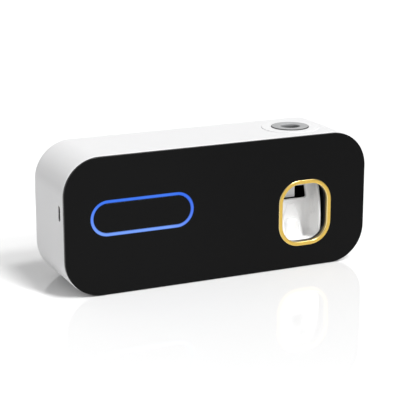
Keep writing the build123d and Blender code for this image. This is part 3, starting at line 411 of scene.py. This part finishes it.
def glossy_black(name, roughness, smear):
    """The face's and the key's smooth black; smear is how far wiping and handling dull it."""
    return moulded(name, (0.0018, 0.0018, 0.0019), roughness, gloss=0.11, spread=0.05, rough_spread=0.01,
                   grain=0.8, grain_depth=0.0006, swell=0.012, smear=smear)[0]


def black_face():
    """Smooth black face, barely smeared."""
    return glossy_black("smooth black face", 0.12, smear=0.05)


def black_key():
    """The key's black face, handled a little more than the face round it."""
    return glossy_black("handled black key", 0.13, smear=0.09)


def black_carrier():
    """Grained black frame behind the face."""
    return moulded("grained black carrier", (0.016, 0.016, 0.017), 0.55, grain=0.6, grain_depth=0.02)[0]


def black_housing():
    """Gloss black bay round the scoop."""
    return moulded("gloss black bay", (0.008, 0.008, 0.008), 0.12, gloss=0.4, grain_depth=0.002,
                   smear=0.06)[0]


def black_chips():
    """Dull moulded chips and connectors."""
    return moulded("dull black mouldings", (0.02, 0.02, 0.021), 0.6, grain=0.25, grain_depth=0.012,
                   spread=0.08)[0]


def switch_cap():
    """Dark grey switch plunger."""
    return moulded("dark switch plunger", (0.07, 0.07, 0.075), 0.45, grain=0.3, grain_depth=0.008)[0]


def led_body():
    """Small lamp bodies: cream ceramic with a glassy drift."""
    return moulded("cream lamp bodies", (0.82, 0.76, 0.55), 0.3, gloss=0.5, spread=0.1, grain=0.3,
                   grain_depth=0.006)[0]


def grey_silicone():
    """Soft grey silicone with a fine dull skin."""
    return moulded("soft grey silicone", (0.3, 0.305, 0.315), 0.5, gloss=0.4, spread=0.04, grain=0.35,
                   dust=0.1)[0]


def seat_silicone():
    """The tube seat's silicone: pale on its face, with painted shade round its outer edge and down its
    throat.
    The distance from the seat's axis finds the edge, the depth below its top finds the throat, in
    millimetres."""
    edge_begins, edge_full = 0.45, 0.15
    throat_begins, throat_full = 0.5, 3.0
    shadow_tone = (0.02, 0.02, 0.021, 1)
    low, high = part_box("port_seat")
    middle = (low + high) / 2
    rim = high.x - middle.x
    material, tree, shader = moulded("tube seat silicone", (0.35, 0.355, 0.36), 0.5, gloss=0.4, spread=0.04,
                                     grain=0.35, dust=0.1)
    face = shader.inputs["Base Color"].links[0].from_socket
    place = add_node(tree, "ShaderNodeTexCoord").outputs["Object"]
    from_axis = add_node(tree, "ShaderNodeVectorMath", {0: place, 1: (middle.x, middle.y, 0)},
                         operation="SUBTRACT").outputs["Vector"]
    level = add_node(tree, "ShaderNodeVectorMath", {0: from_axis, 1: (1, 1, 0)},
                     operation="MULTIPLY").outputs["Vector"]
    radius = add_node(tree, "ShaderNodeVectorMath", {0: level}, operation="LENGTH").outputs["Value"]
    edge = remap(tree, radius, rim - edge_begins * mm, rim - edge_full * mm, 0.0, 1.0)
    height = add_node(tree, "ShaderNodeSeparateXYZ", {"Vector": place}).outputs["Z"]
    down = remap(tree, height, high.z - throat_begins * mm, high.z - throat_full * mm, 0.0, 1.0)
    # Painted shade: the outer edge and the throat darken towards near black.
    shade = maths(tree, "MAXIMUM", edge, down)
    tree.links.new(mixed(tree, shade, face, shadow_tone), shader.inputs["Base Color"])
    return material


def clear_silicone():
    """Milky silicone that lets some light through."""
    material, _, shader = moulded("milky silicone", (0.78, 0.78, 0.75), 0.35, gloss=0.45, spread=0.05,
                                  grain=0.4, grain_depth=0.006, dust=0.05)
    shader.inputs["Subsurface Weight"].default_value = 0.35
    shader.inputs["Subsurface Scale"].default_value = 4 * mm
    return material


def lead_sleeve():
    """Soft black sleeve on the leads."""
    return moulded("soft black sleeve", (0.012, 0.012, 0.012), 0.5, grain=0.4, spread=0.08)[0]


def cell_wrap():
    """Blue shrink wrap, tight with small wrinkles."""
    return moulded("blue shrink wrap", (0.03, 0.09, 0.32), 0.25, gloss=0.5, spread=0.05, grain=1.4,
                   grain_depth=0.05, swell=0.3)[0]


def green_board():
    """Solder mask over copper lines that run in lanes, with round tinned pads between them. The lines lie
    where the height, folded back and forth over half a lane, is small; lanes and lines in millimetres."""
    lane_step, half_lane = 2.0, 0.9
    line_core, line_edge, line_height = 0.25, 0.35, 0.03
    shift_scale, shift_reach = 60.0, 4.0
    pads_per_metre = 240.0
    pad_core, pad_edge = 0.12, 0.16
    mask_tone = (0.012, 0.09, 0.04, 1)
    line_tone = (0.03, 0.2, 0.08, 1)
    pad_tone = (0.7, 0.5, 0.2, 1)
    material, tree, shader, point, _ = new_finish("green solder mask")
    parts = add_node(tree, "ShaderNodeSeparateXYZ", {"Vector": point}).outputs
    shift = swing(tree, noise(tree, point, shift_scale), shift_reach * mm)
    lane = maths(tree, "ADD", parts["Z"], maths(tree, "SNAP", shift, lane_step * mm))
    lines = maths(tree, "PINGPONG", lane, half_lane * mm)
    copper = remap(tree, lines, line_core * mm, line_edge * mm, 1.0, 0.0)
    spots = {"Vector": point, "Scale": pads_per_metre}
    cells = add_node(tree, "ShaderNodeTexVoronoi", spots).outputs["Distance"]
    pads = remap(tree, cells, pad_core, pad_edge, 1.0, 0.0)
    skin = use_effect(tree, moulded_skin, {
        "Point": point, "Tone": mask_tone, "Tone Spread": 0.08, "Roughness": 0.3,
        "Roughness Spread": 0.05, "Grain Size": 0.3 * mm, "Grain Depth": 0.004 * mm,
        "Swell Depth": 0.02 * mm})
    covered = mixed(tree, copper, skin["Tone"], line_tone)
    tree.links.new(mixed(tree, pads, covered, pad_tone), shader.inputs["Base Color"])
    tree.links.new(pads, shader.inputs["Metallic"])
    tree.links.new(skin["Roughness"], shader.inputs["Roughness"])
    tree.links.new(bumped(tree, copper, line_height * mm, skin["Normal"]), shader.inputs["Normal"])
    return material


def blue_light_guide():
    """Diffusing guide lit from behind: deep blue along the top, paler along the bottom, darker at the right
    end, and brightest along its middle line, from the distance to a racetrack's line in X and Z."""
    band = 1.9 * mm
    core, rim = 0.2 * band, 0.5 * band
    right_end = 16 * mm
    right_share = 0.6
    top_blue = (0.036, 0.17, 0.84, 1)
    bottom_blue = (0.19, 0.37, 1.0, 1)
    right_blue = (0.02, 0.11, 0.78, 1)
    rim_light = 0.55
    lamp_scale, lamp_spread = 90.0, 0.06
    low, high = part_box("light_ring")
    middle = (low + high) / 2
    line_radius = (high.z - low.z - band) / 2
    half_straight = (high.x - low.x - high.z + low.z) / 2
    material, tree, shader = moulded("lit blue guide", (0.003, 0.009, 0.06), 0.3, gloss=0.2, grain=0.4,
                                     grain_depth=0.004)
    place = add_node(tree, "ShaderNodeTexCoord").outputs["Object"]
    parts = add_node(tree, "ShaderNodeSeparateXYZ", {"Vector": place}).outputs
    sideways = maths(tree, "ABSOLUTE", maths(tree, "SUBTRACT", parts["X"], middle.x))
    past_end = maths(tree, "MAXIMUM", maths(tree, "SUBTRACT", sideways, half_straight), 0.0)
    upwards = maths(tree, "SUBTRACT", parts["Z"], middle.z)
    past_squared = maths(tree, "POWER", past_end, 2.0)
    up_squared = maths(tree, "MULTIPLY", upwards, upwards)
    distance = maths(tree, "SQRT", maths(tree, "ADD", past_squared, up_squared))
    off_line = maths(tree, "ABSOLUTE", maths(tree, "SUBTRACT", distance, line_radius))
    bright_line = remap(tree, off_line, core, rim, 1.0, rim_light)
    drop = remap(tree, parts["Z"], low.z + band, high.z - band, 1.0, 0.0)
    lamps = swing(tree, noise(tree, place, lamp_scale), lamp_spread)
    right = remap(tree, parts["X"], high.x - right_end, high.x, 0.0, right_share)
    glow = mixed(tree, maths(tree, "ADD", drop, lamps), top_blue, bottom_blue)
    glow = mixed(tree, right, glow, right_blue)
    tree.links.new(shaded(tree, glow, bright_line), shader.inputs["Emission Color"])
    shader.inputs["Emission Strength"].default_value = 1.0
    return material


def gold_trim():
    """Satin gold anodising, with painted highlights on the rounded edges, whose normals turn away from Y, and
    painted shade on the wall inside the window, from half a millimetre behind the front."""
    turned_to_flat = (0.6, 0.97)
    highlight_gold = (1.0, 0.84, 0.42, 1)
    shaded_gold = (0.3, 0.22, 0.08, 1)
    wall_begins, wall_full = 0.5, 1.0
    low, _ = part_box("window_trim")
    material, tree, shader = metal("satin gold anodising", (0.8, 0.54, 0.12), 0.3, (500, 500, 500),
                                   spread=0.03, rough_spread=0.03, depth=0.001)
    satin = shader.inputs["Base Color"].links[0].from_socket
    place = add_node(tree, "ShaderNodeTexCoord").outputs
    facing = add_node(tree, "ShaderNodeSeparateXYZ", {"Vector": place["Normal"]}).outputs["Y"]
    turned_away = remap(tree, maths(tree, "ABSOLUTE", facing), *turned_to_flat, 1.0, 0.0)
    # Painted highlight: the rounded edges take a bright gold.
    edge_highlight = mixed(tree, turned_away, satin, highlight_gold)
    depth = add_node(tree, "ShaderNodeSeparateXYZ", {"Vector": place["Object"]}).outputs["Y"]
    inside = remap(tree, depth, low.y + wall_begins * mm, low.y + wall_full * mm, 0.0, 1.0)
    # Painted shade: the wall inside the window takes a dark gold.
    tree.links.new(mixed(tree, inside, edge_highlight, shaded_gold), shader.inputs["Base Color"])
    return material


def contact_gold():
    """Thin gold plating on the socket's contacts."""
    return metal("contact gold plating", (0.83, 0.6, 0.22), 0.22, (300, 3000, 3000), depth=0.001)[0]


def steel_screws():
    """Zinc-plated screws and pins."""
    return metal("zinc plating", (0.6, 0.6, 0.61), 0.32, (1500, 1500, 1500), depth=0.006)[0]


def steel_springs():
    """Drawn spring wire and clips."""
    return metal("drawn spring wire", (0.55, 0.55, 0.56), 0.25, (4000, 300, 4000), depth=0.003)[0]


def socket_metal():
    """Nickel-plated socket shell."""
    return metal("nickel plating", (0.62, 0.61, 0.58), 0.25, (400, 4000, 4000), depth=0.002)[0]


def mirror_liner():
    """Bright rolled liner of the brush chamber."""
    return metal("bright rolled liner", (0.86, 0.86, 0.87), 0.12, (200, 3000, 3000), spread=0.03,
                 rough_spread=0.04, depth=0.002)[0]


def lamp_board():
    """White solder mask on the aluminium lamp board."""
    return moulded("white solder mask", (0.78, 0.78, 0.75), 0.4, spread=0.03, grain=0.3,
                   grain_depth=0.004)[0]


def quartz():
    """Clear window over the lamps, with faint smears."""
    material, _, shader = moulded("clear quartz", (0.93, 0.95, 0.98), 0.04, gloss=0.5, spread=0.01,
                                  rough_spread=0.01, grain=1.0, grain_depth=0.0005, swell=0.02, smear=0.05)
    shader.inputs["Transmission Weight"].default_value = 1.0
    shader.inputs["IOR"].default_value = 1.46
    return material


finishes = [white_shell, white_cover, white_collar, white_nozzle, white_lever, white_rack, black_face,
            black_key, black_carrier, black_housing, black_chips, switch_cap, led_body, grey_silicone,
            clear_silicone, lead_sleeve, cell_wrap, green_board, blue_light_guide, gold_trim, steel_screws,
            steel_springs, socket_metal, mirror_liner, lamp_board, quartz, seat_silicone, contact_gold]
finish_of_slot = {make_finish.__name__: make_finish() for make_finish in finishes}


def dress_nodes():
    """Every CAD node takes the finish of its record slot."""
    slots = {subpart["node"]: subpart["material_slot"] for subpart in frame["record"]["subparts"]}
    for name, node in frame["nodes"].items():
        for place in node.material_slots:
            place.material = finish_of_slot[slots[name]]


# Surfaces of the soft and wound pieces

def faces_between(ring_count, ring_size, closed):
    """Quads that join each ring of points to the next, and the last to the first where the rings close up."""
    last = ring_count if closed else ring_count - 1
    ring, step = np.meshgrid(np.arange(last), np.arange(ring_size), indexing="ij")
    after = (step + 1) % ring_size
    following = (ring + 1) % ring_count
    corners = [ring * ring_size + step, ring * ring_size + after,
               following * ring_size + after, following * ring_size + step]
    return np.stack(corners, axis=-1).reshape(-1, 4)


def end_fans(ring_count, ring_size):
    """Triangles that close the first and the last ring to two middle points, which follow all the rings."""
    step = np.arange(ring_size)
    after = (step + 1) % ring_size
    start = (ring_count - 1) * ring_size
    middle = np.full(ring_size, ring_count * ring_size)
    first_fan = np.stack([after, step, middle], axis=-1)
    last_fan = np.stack([start + step, start + after, middle + 1], axis=-1)
    return np.vstack([first_fan, last_fan])


def enclosed(points, faces):
    """Six times the volume that faces close: a . (b x c), summed over the triangles of each face."""
    corners = points[faces]
    total = 0.0
    for n in range(1, faces.shape[1] - 1):
        total += np.sum(corners[:, 0] * np.cross(corners[:, n], corners[:, n + 1]))
    return total


def make_piece(name, shapes, slot, body, node, finish=None):
    """A piece from one or more closed shapes, each given as its rings of points and whether fans close the
    ends. A shape whose volume comes out negative is turned over. The piece rides on a body, wears the finish
    of its slot or one of its own, and hides the CAD node that it is made in place of, if one is named."""
    sharp_edge = 40.0
    points = []
    faces = []
    first = 0
    for rings, ends in shapes:
        ring_count, ring_size = rings.shape[:2]
        block = rings.reshape(-1, 3)
        quads = faces_between(ring_count, ring_size, closed=not ends)
        fans = np.zeros((0, 3), int)
        if ends:
            block = np.vstack([block, rings[0].mean(axis=0), rings[-1].mean(axis=0)])
            fans = end_fans(ring_count, ring_size)
        if enclosed(block, quads) + enclosed(block, fans) < 0:
            quads = quads[:, ::-1]
            fans = fans[:, ::-1]
        faces += (quads + first).tolist() + (fans + first).tolist()
        points.append(block)
        first += len(block)
    mesh = bpy.data.meshes.new(name)
    mesh.from_pydata(np.vstack(points).tolist(), [], faces)
    mesh.shade_smooth()
    mesh.set_sharp_from_angle(angle=math.radians(sharp_edge))
    mesh.materials.append(finish_of_slot[finish or slot])
    piece = bpy.data.objects.new(name, mesh)
    bpy.context.scene.collection.objects.link(piece)
    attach(piece, body)
    if node:
        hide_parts(node)
    return piece


def rounded(corners, rounds, steps=6):
    """A closed outline with rounded corners. Each corner P becomes a parabola between A and B, which lie on
    its two sides at the round's length from it: (1-s)^2 A + 2s(1-s) P + s^2 B."""
    most_of_a_side = 0.49
    corners = np.array(corners, float)
    s = np.linspace(0, 1, steps)[:, None]
    outline = []
    for n, corner in enumerate(corners):
        before = corners[n - 1] - corner
        after = corners[(n + 1) % len(corners)] - corner
        length_before = np.linalg.norm(before)
        length_after = np.linalg.norm(after)
        reach = rounds[n] if np.ndim(rounds) else rounds
        a = corner + before / length_before * min(reach, length_before * most_of_a_side)
        b = corner + after / length_after * min(reach, length_after * most_of_a_side)
        outline.append((1 - s) ** 2 * a + 2 * s * (1 - s) * corner + s ** 2 * b)
    return np.vstack(outline)


def turned(outline, x, y, around=72):
    """An outline of radius r and height z carried round an upright axis: x + r cos a, y + r sin a, z."""
    turn = np.linspace(0, 2 * np.pi, around, endpoint=False)
    radius = outline[:, 0][:, None]
    height = np.repeat(outline[:, 1][:, None], around, axis=1)
    return np.stack([x + radius * np.cos(turn), y + radius * np.sin(turn), height], axis=-1)


def wound(middle_x, middle_z, y_front, y_back, radius, wire, turns):
    """A compression spring along +Y: a tube of radius wire round the line x = R cos a, z = R sin a. Its y
    climbs by little more than the wire's thickness over the closed turn at each end, and evenly between
    them. The tube is the line plus wire (cos b outwards + sin b sideways)."""
    dead_turns = 1.0
    closed_gap = 1.04
    steps_per_turn = 48
    sides = 12
    whole = turns + 2 * dead_turns
    turn = np.linspace(0, whole, int(whole * steps_per_turn) + 1)
    angle = 2 * np.pi * turn
    closed_climb = 2 * wire * closed_gap
    open_climb = (y_back - y_front - 2 * wire - 2 * dead_turns * closed_climb) / turns
    front_part = np.minimum(turn, dead_turns) * closed_climb
    open_part = np.clip(turn - dead_turns, 0, turns) * open_climb
    back_part = np.maximum(turn - dead_turns - turns, 0) * closed_climb
    y = y_front + wire + front_part + open_part + back_part
    line = np.stack([middle_x + radius * np.cos(angle), y, middle_z + radius * np.sin(angle)], axis=-1)
    along = np.gradient(line, axis=0)
    along /= np.linalg.norm(along, axis=1, keepdims=True)
    out = np.stack([np.cos(angle), np.zeros_like(angle), np.sin(angle)], axis=-1)
    side = np.cross(along, out)
    around = np.linspace(0, 2 * np.pi, sides, endpoint=False)[:, None]
    section = np.cos(around) * out[:, None] + np.sin(around) * side[:, None]
    return line[:, None] + wire * section


def box_mm(node):
    """A CAD node's box at rest, low and high corner, in millimetres."""
    low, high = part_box(node)
    return np.array(low) / mm, np.array(high) / mm


def make_key_springs():
    """The two small springs behind the key, one round each post; wound gives their formula."""
    low, high = box_mm("key_springs")
    wire = 0.2
    turns = 4
    radius = (high[2] - low[2]) / 2 - wire
    middle_z = (low[2] + high[2]) / 2
    reach = radius + wire
    shapes = [(wound(x, middle_z, low[1], high[1], radius, wire, turns) * mm, True)
              for x in (low[0] + reach, high[0] - reach)]
    piece = make_piece("key_return_springs", shapes, "steel_springs", "housing", "key_springs")
    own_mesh(piece)


def make_lever_spring():
    """The spring behind the scoop; wound gives its formula. At full swing the scoop leaves it 0.525 of its
    length."""
    low, high = box_mm("lever_spring")
    wire = 0.4
    turns = 7
    radius = (high[2] - low[2]) / 2 - wire
    middle_x = (low[0] + high[0]) / 2
    middle_z = (low[2] + high[2]) / 2
    rings = wound(middle_x, middle_z, low[1], high[1], radius, wire, turns)
    piece = make_piece("scoop_return_spring", [(rings * mm, True)], "steel_springs", "housing",
                       "lever_spring")
    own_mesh(piece)


def make_pump_bulb():
    """The squeezed bulb: a thick wall turned round an axis. Its side has three shallow folds,
    r = R - d (1 - cos 2 pi n u) / 2, its shoulders are quarter circles, and each end has an open neck. At
    full swing the pad leaves it 0.775 of its depth."""
    low, high = box_mm("pump_bulb")
    outer = (high[0] - low[0]) / 2
    wall = 1.1
    shoulder = 2.6
    fold_depth = 0.5
    folds = 3
    neck = 3.4
    side_points, bend_points = 61, 8
    height = high[2] - low[2]
    u = np.linspace(0, 1, side_points)
    z = low[2] + shoulder + u * (height - 2 * shoulder)
    radius = outer - fold_depth * (1 - np.cos(2 * np.pi * folds * u)) / 2
    bend = np.linspace(0, np.pi / 2, bend_points)[1:]
    base_radius = outer - shoulder + shoulder * np.sin(bend)
    base_height = low[2] + shoulder - shoulder * np.cos(bend)
    base = np.stack([base_radius, base_height], -1)
    top = base[::-1] * (1, -1) + (0, low[2] + high[2])
    skin = np.stack([radius, z], -1)
    inner_z = low[2] + wall + (z - low[2]) * (1 - 2 * wall / height)
    inner_skin = np.stack([radius - wall, inner_z], -1)
    outside = np.vstack([[(neck, low[2])], base, skin[1:-1], top, [(neck, high[2])]])
    inside = np.vstack([[(neck, high[2] - wall)], inner_skin[::-1], [(neck, low[2] + wall)]])
    rings = turned(np.vstack([outside, inside]), (low[0] + high[0]) / 2, (low[1] + high[1]) / 2) * mm
    piece = make_piece("squeeze_bulb", [(rings, False)], "clear_silicone", "housing", "pump_bulb")
    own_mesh(piece)


def make_port_seat():
    """The grey socket in the top: a rounded outline turned round an axis, with a soft mouth, a stem and three
    V-shaped sealing grooves down its bore."""
    low, high = box_mm("port_seat")
    x = (low[0] + high[0]) / 2
    outer = (high[0] - low[0]) / 2
    flange, stem, bore, neck = 2.4, 9.0, 6.0, 4.6
    bore_length = 14.0
    grooves, groove_depth, groove_height, groove_step, above_grooves = 3, 0.35, 1.0, 2.6, 3.2
    soft, foot_round, under_flange, rim_round, mouth_round = 0.2, 0.4, 0.3, 0.55, 0.9
    corners = [(neck, low[2]), (stem, low[2]), (stem, high[2] - flange), (outer, high[2] - flange),
               (outer, high[2]), (bore, high[2])]
    rounds = [soft, foot_round, under_flange, soft, rim_round, mouth_round]
    for n in range(grooves):
        z = high[2] - above_grooves - groove_step * n
        corners += [(bore, z), (bore + groove_depth, z - groove_height / 2), (bore, z - groove_height)]
        rounds += [soft, soft, soft]
    corners += [(bore, high[2] - bore_length), (neck, high[2] - bore_length)]
    rounds += [soft, soft]
    rings = turned(rounded(corners, rounds), x, 0.0, around=96) * mm
    make_piece("tube_seat", [(rings, False)], "grey_silicone", "housing", "port_seat", "seat_silicone")


def make_inlet_valve():
    """The duckbill under the seat: rings x = a cos t, y = b sin t. They go over a soft-edged disc, then down
    the bill, where a widens a little and b shrinks evenly until the mouth is a thin slit."""
    low, high = box_mm("inlet_valve")
    x = (low[0] + high[0]) / 2
    disc = (high[0] - low[0]) / 2
    disc_thickness, edge = 1.0, 0.2
    dish_rim, dish_depth = 0.9, 0.25
    root_half_width, root_half_depth, root_height = 2.95, 1.6, 0.5
    bill_half_width, bill_half_depth = 2.9, 0.9
    mouth_wider, mouth_thinner = 0.1, 0.55
    bill_rings = 8
    disc_low = high[2] - disc_thickness
    bill_top = disc_low - root_height
    turn = np.linspace(0, 2 * np.pi, 72, endpoint=False)
    sizes = [(disc / 2, disc / 2, high[2] - dish_depth),
             (disc - dish_rim, disc - dish_rim, high[2]),
             (disc - edge, disc - edge, high[2]),
             (disc, disc, high[2] - edge),
             (disc, disc, disc_low + edge),
             (disc - edge, disc - edge, disc_low),
             (root_half_width, root_half_depth, disc_low),
             (bill_half_width, bill_half_depth, bill_top)]
    for s in np.linspace(0, 1, bill_rings + 1)[1:]:
        sizes.append((bill_half_width + mouth_wider * s, bill_half_depth - mouth_thinner * s,
                      bill_top - s * (bill_top - low[2])))
    a, b, z = np.array(sizes).T[:, :, None]
    rings = np.stack([x + a * np.cos(turn), b * np.sin(turn), z * np.ones_like(turn)], -1)
    make_piece("duckbill_valve", [(rings * mm, True)], "clear_silicone", "housing", "inlet_valve")


def make_nozzle_lip():
    """The slit valve in the nozzle: a disc whose lower face is domed down by h cos(pi r / 2R), with a slit
    pressed into it by d exp(-(y / w)^4) along X. Its rings go out over that face, up the rim and in again."""
    low, high = box_mm("nozzle_lip")
    x = (low[0] + high[0]) / 2
    radius = (high[0] - low[0]) / 2
    dome_height = 0.35
    slit_depth, slit_width, half_slit = 0.9, 0.16, 1.6
    rings_out, rings_in = 24, 8
    innermost, outermost = 0.03, 0.97
    rim_climb = (0.25, 0.75)
    rim_low = low[2] + dome_height
    turn = np.linspace(0, 2 * np.pi, 96, endpoint=False)
    way_out = np.linspace(innermost, outermost, rings_out)
    way_in = np.linspace(outermost, innermost, rings_in)
    share = np.concatenate([way_out, [1.0, 1.0], way_in])
    climb = np.concatenate([np.zeros(rings_out), rim_climb, np.ones(rings_in)])[:, None]
    px = radius * share[:, None] * np.cos(turn)
    py = radius * share[:, None] * np.sin(turn)
    dome = dome_height * np.cos(np.pi / 2 * share[:, None]) * np.ones_like(px)
    slit = slit_depth * np.exp(-(py / slit_width) ** 4) * (np.abs(px) < half_slit)
    z = np.where(climb > 0, rim_low + climb * (high[2] - rim_low), rim_low - dome + slit)
    rings = np.stack([x + px, py, z], -1)
    make_piece("outlet_lip", [(rings * mm, True)], "clear_silicone", "housing", "nozzle_lip")


def make_lever_pad():
    """The pad that meets the bulb: a disc with a crowned back, y = back - c s^2 - e s^12, where s is the
    share of the radius, c the crown and e the soft rim. Rings go out over its flat front and in over its
    back."""
    low, high = box_mm("lever_pad")
    middle_x = (low[0] + high[0]) / 2
    middle_z = (low[2] + high[2]) / 2
    radius = (high[0] - low[0]) / 2
    crown, rim = 0.3, 0.2
    flat_rings, crown_rings = 10, 14
    innermost, innermost_squared = 0.05, 0.02
    turn = np.linspace(0, 2 * np.pi, 72, endpoint=False)
    way_out = np.linspace(innermost, 1.0, flat_rings)
    way_in = np.sqrt(np.linspace(1.0, innermost_squared, crown_rings))
    share = np.concatenate([way_out, way_in])
    crowned = high[1] - crown * share ** 2 - rim * share ** 12
    y = np.where(np.arange(len(share)) < flat_rings, low[1], crowned)
    rings = np.stack([middle_x + radius * share[:, None] * np.cos(turn),
                      np.repeat(y[:, None], len(turn), axis=1),
                      middle_z + radius * share[:, None] * np.sin(turn)], -1)
    make_piece("bulb_pad", [(rings * mm, True)], "grey_silicone", "lever", "lever_pad")


def make_brush_grips():
    """The C clips round the brush necks: a rounded section carried round each slot's end, from one side of
    the mouth to the other, along x = r sin a, y = -r cos a. It starts where x is half the mouth. Its size is
    0.65 + 0.35 sqrt(1 - (2s - 1)^24), which is full but for both ends."""
    low, high = box_mm("brush_grips")
    outer, inner, mouth = 6.5, 3.4, 5.6
    soft = 0.9
    count = 4
    end_size = 0.65
    sections = 73
    corners = [(inner, low[2]), (outer, low[2]), (outer, high[2]), (inner, high[2])]
    section = rounded(corners, soft, steps=8)
    section_middle = section.mean(axis=0)
    s = np.linspace(0, 1, sections)
    size = end_size + (1 - end_size) * np.sqrt(np.clip(1 - np.abs(2 * s - 1) ** 24, 0.0, 1))
    grid = section_middle + (section[None] - section_middle) * size[:, None, None]
    radius = grid[..., 0]
    start = np.arcsin(np.clip(mouth / 2 / radius, -1, 1))
    angle = start + s[:, None] * (2 * np.pi - 2 * start)
    middle_y = high[1] - outer
    step = (high[0] - low[0] - 2 * outer) / (count - 1)
    shapes = []
    for n in range(count):
        x = low[0] + outer + n * step
        rings = np.stack([x + radius * np.sin(angle), middle_y - radius * np.cos(angle), grid[..., 1]], -1)
        shapes.append((rings * mm, True))
    make_piece("neck_clips", shapes, "grey_silicone", "housing", "brush_grips")


def make_socket_contacts():
    """The gold contacts on both faces of the socket's tongue: thin plates in a row along Z. Each is three
    rounded outlines above each other, of which the outer one is drawn in."""
    low, high = box_mm("usb_tongue")
    count, pitch = 12, 0.5
    length, width, soft = 3.6, 0.26, 0.06
    proud, sunk, drawn_in, straight = 0.05, 0.02, 0.05, 0.4
    tip_gap = 0.5
    tip = low[0] + tip_gap
    half_thickness = 0.35
    middle_y = (low[1] + high[1]) / 2
    middle_z = (low[2] + high[2]) / 2
    layers = ((0.0, -sunk), (0.0, proud * straight), (drawn_in, proud))
    shapes = []
    for side in (-1, 1):
        for n in range(count):
            z = middle_z + (n - (count - 1) / 2) * pitch
            rings = []
            for inset, rise in layers:
                left, right = tip + inset, tip + length - inset
                lower, upper = z - width / 2 + inset, z + width / 2 - inset
                corners = [(left, lower), (right, lower), (right, upper), (left, upper)]
                outline = rounded(corners, soft, steps=3)
                y = np.full(len(outline), middle_y + side * (half_thickness + rise))
                rings.append(np.stack([outline[:, 0], y, outline[:, 1]], -1))
            shapes.append((np.array(rings) * mm, True))
    make_piece("socket_contacts", shapes, "gold_trim", "housing", None, "contact_gold")


make_camera()
make_floor()
make_surround()
make_tall_soft_box()
make_lamp("fill", energy=0.5, spread=60, towards=(-0.1, -0.95, 0.3))
make_lamp("side", energy=0.77, spread=50, towards=(-0.98, -0.1, 0.12))
bpy.context.scene.view_settings.view_transform = "Standard"

dress_nodes()
make_key_springs()
make_lever_spring()
make_pump_bulb()
make_port_seat()
make_inlet_valve()
make_nozzle_lip()
make_lever_pad()
make_brush_grips()
make_socket_contacts()
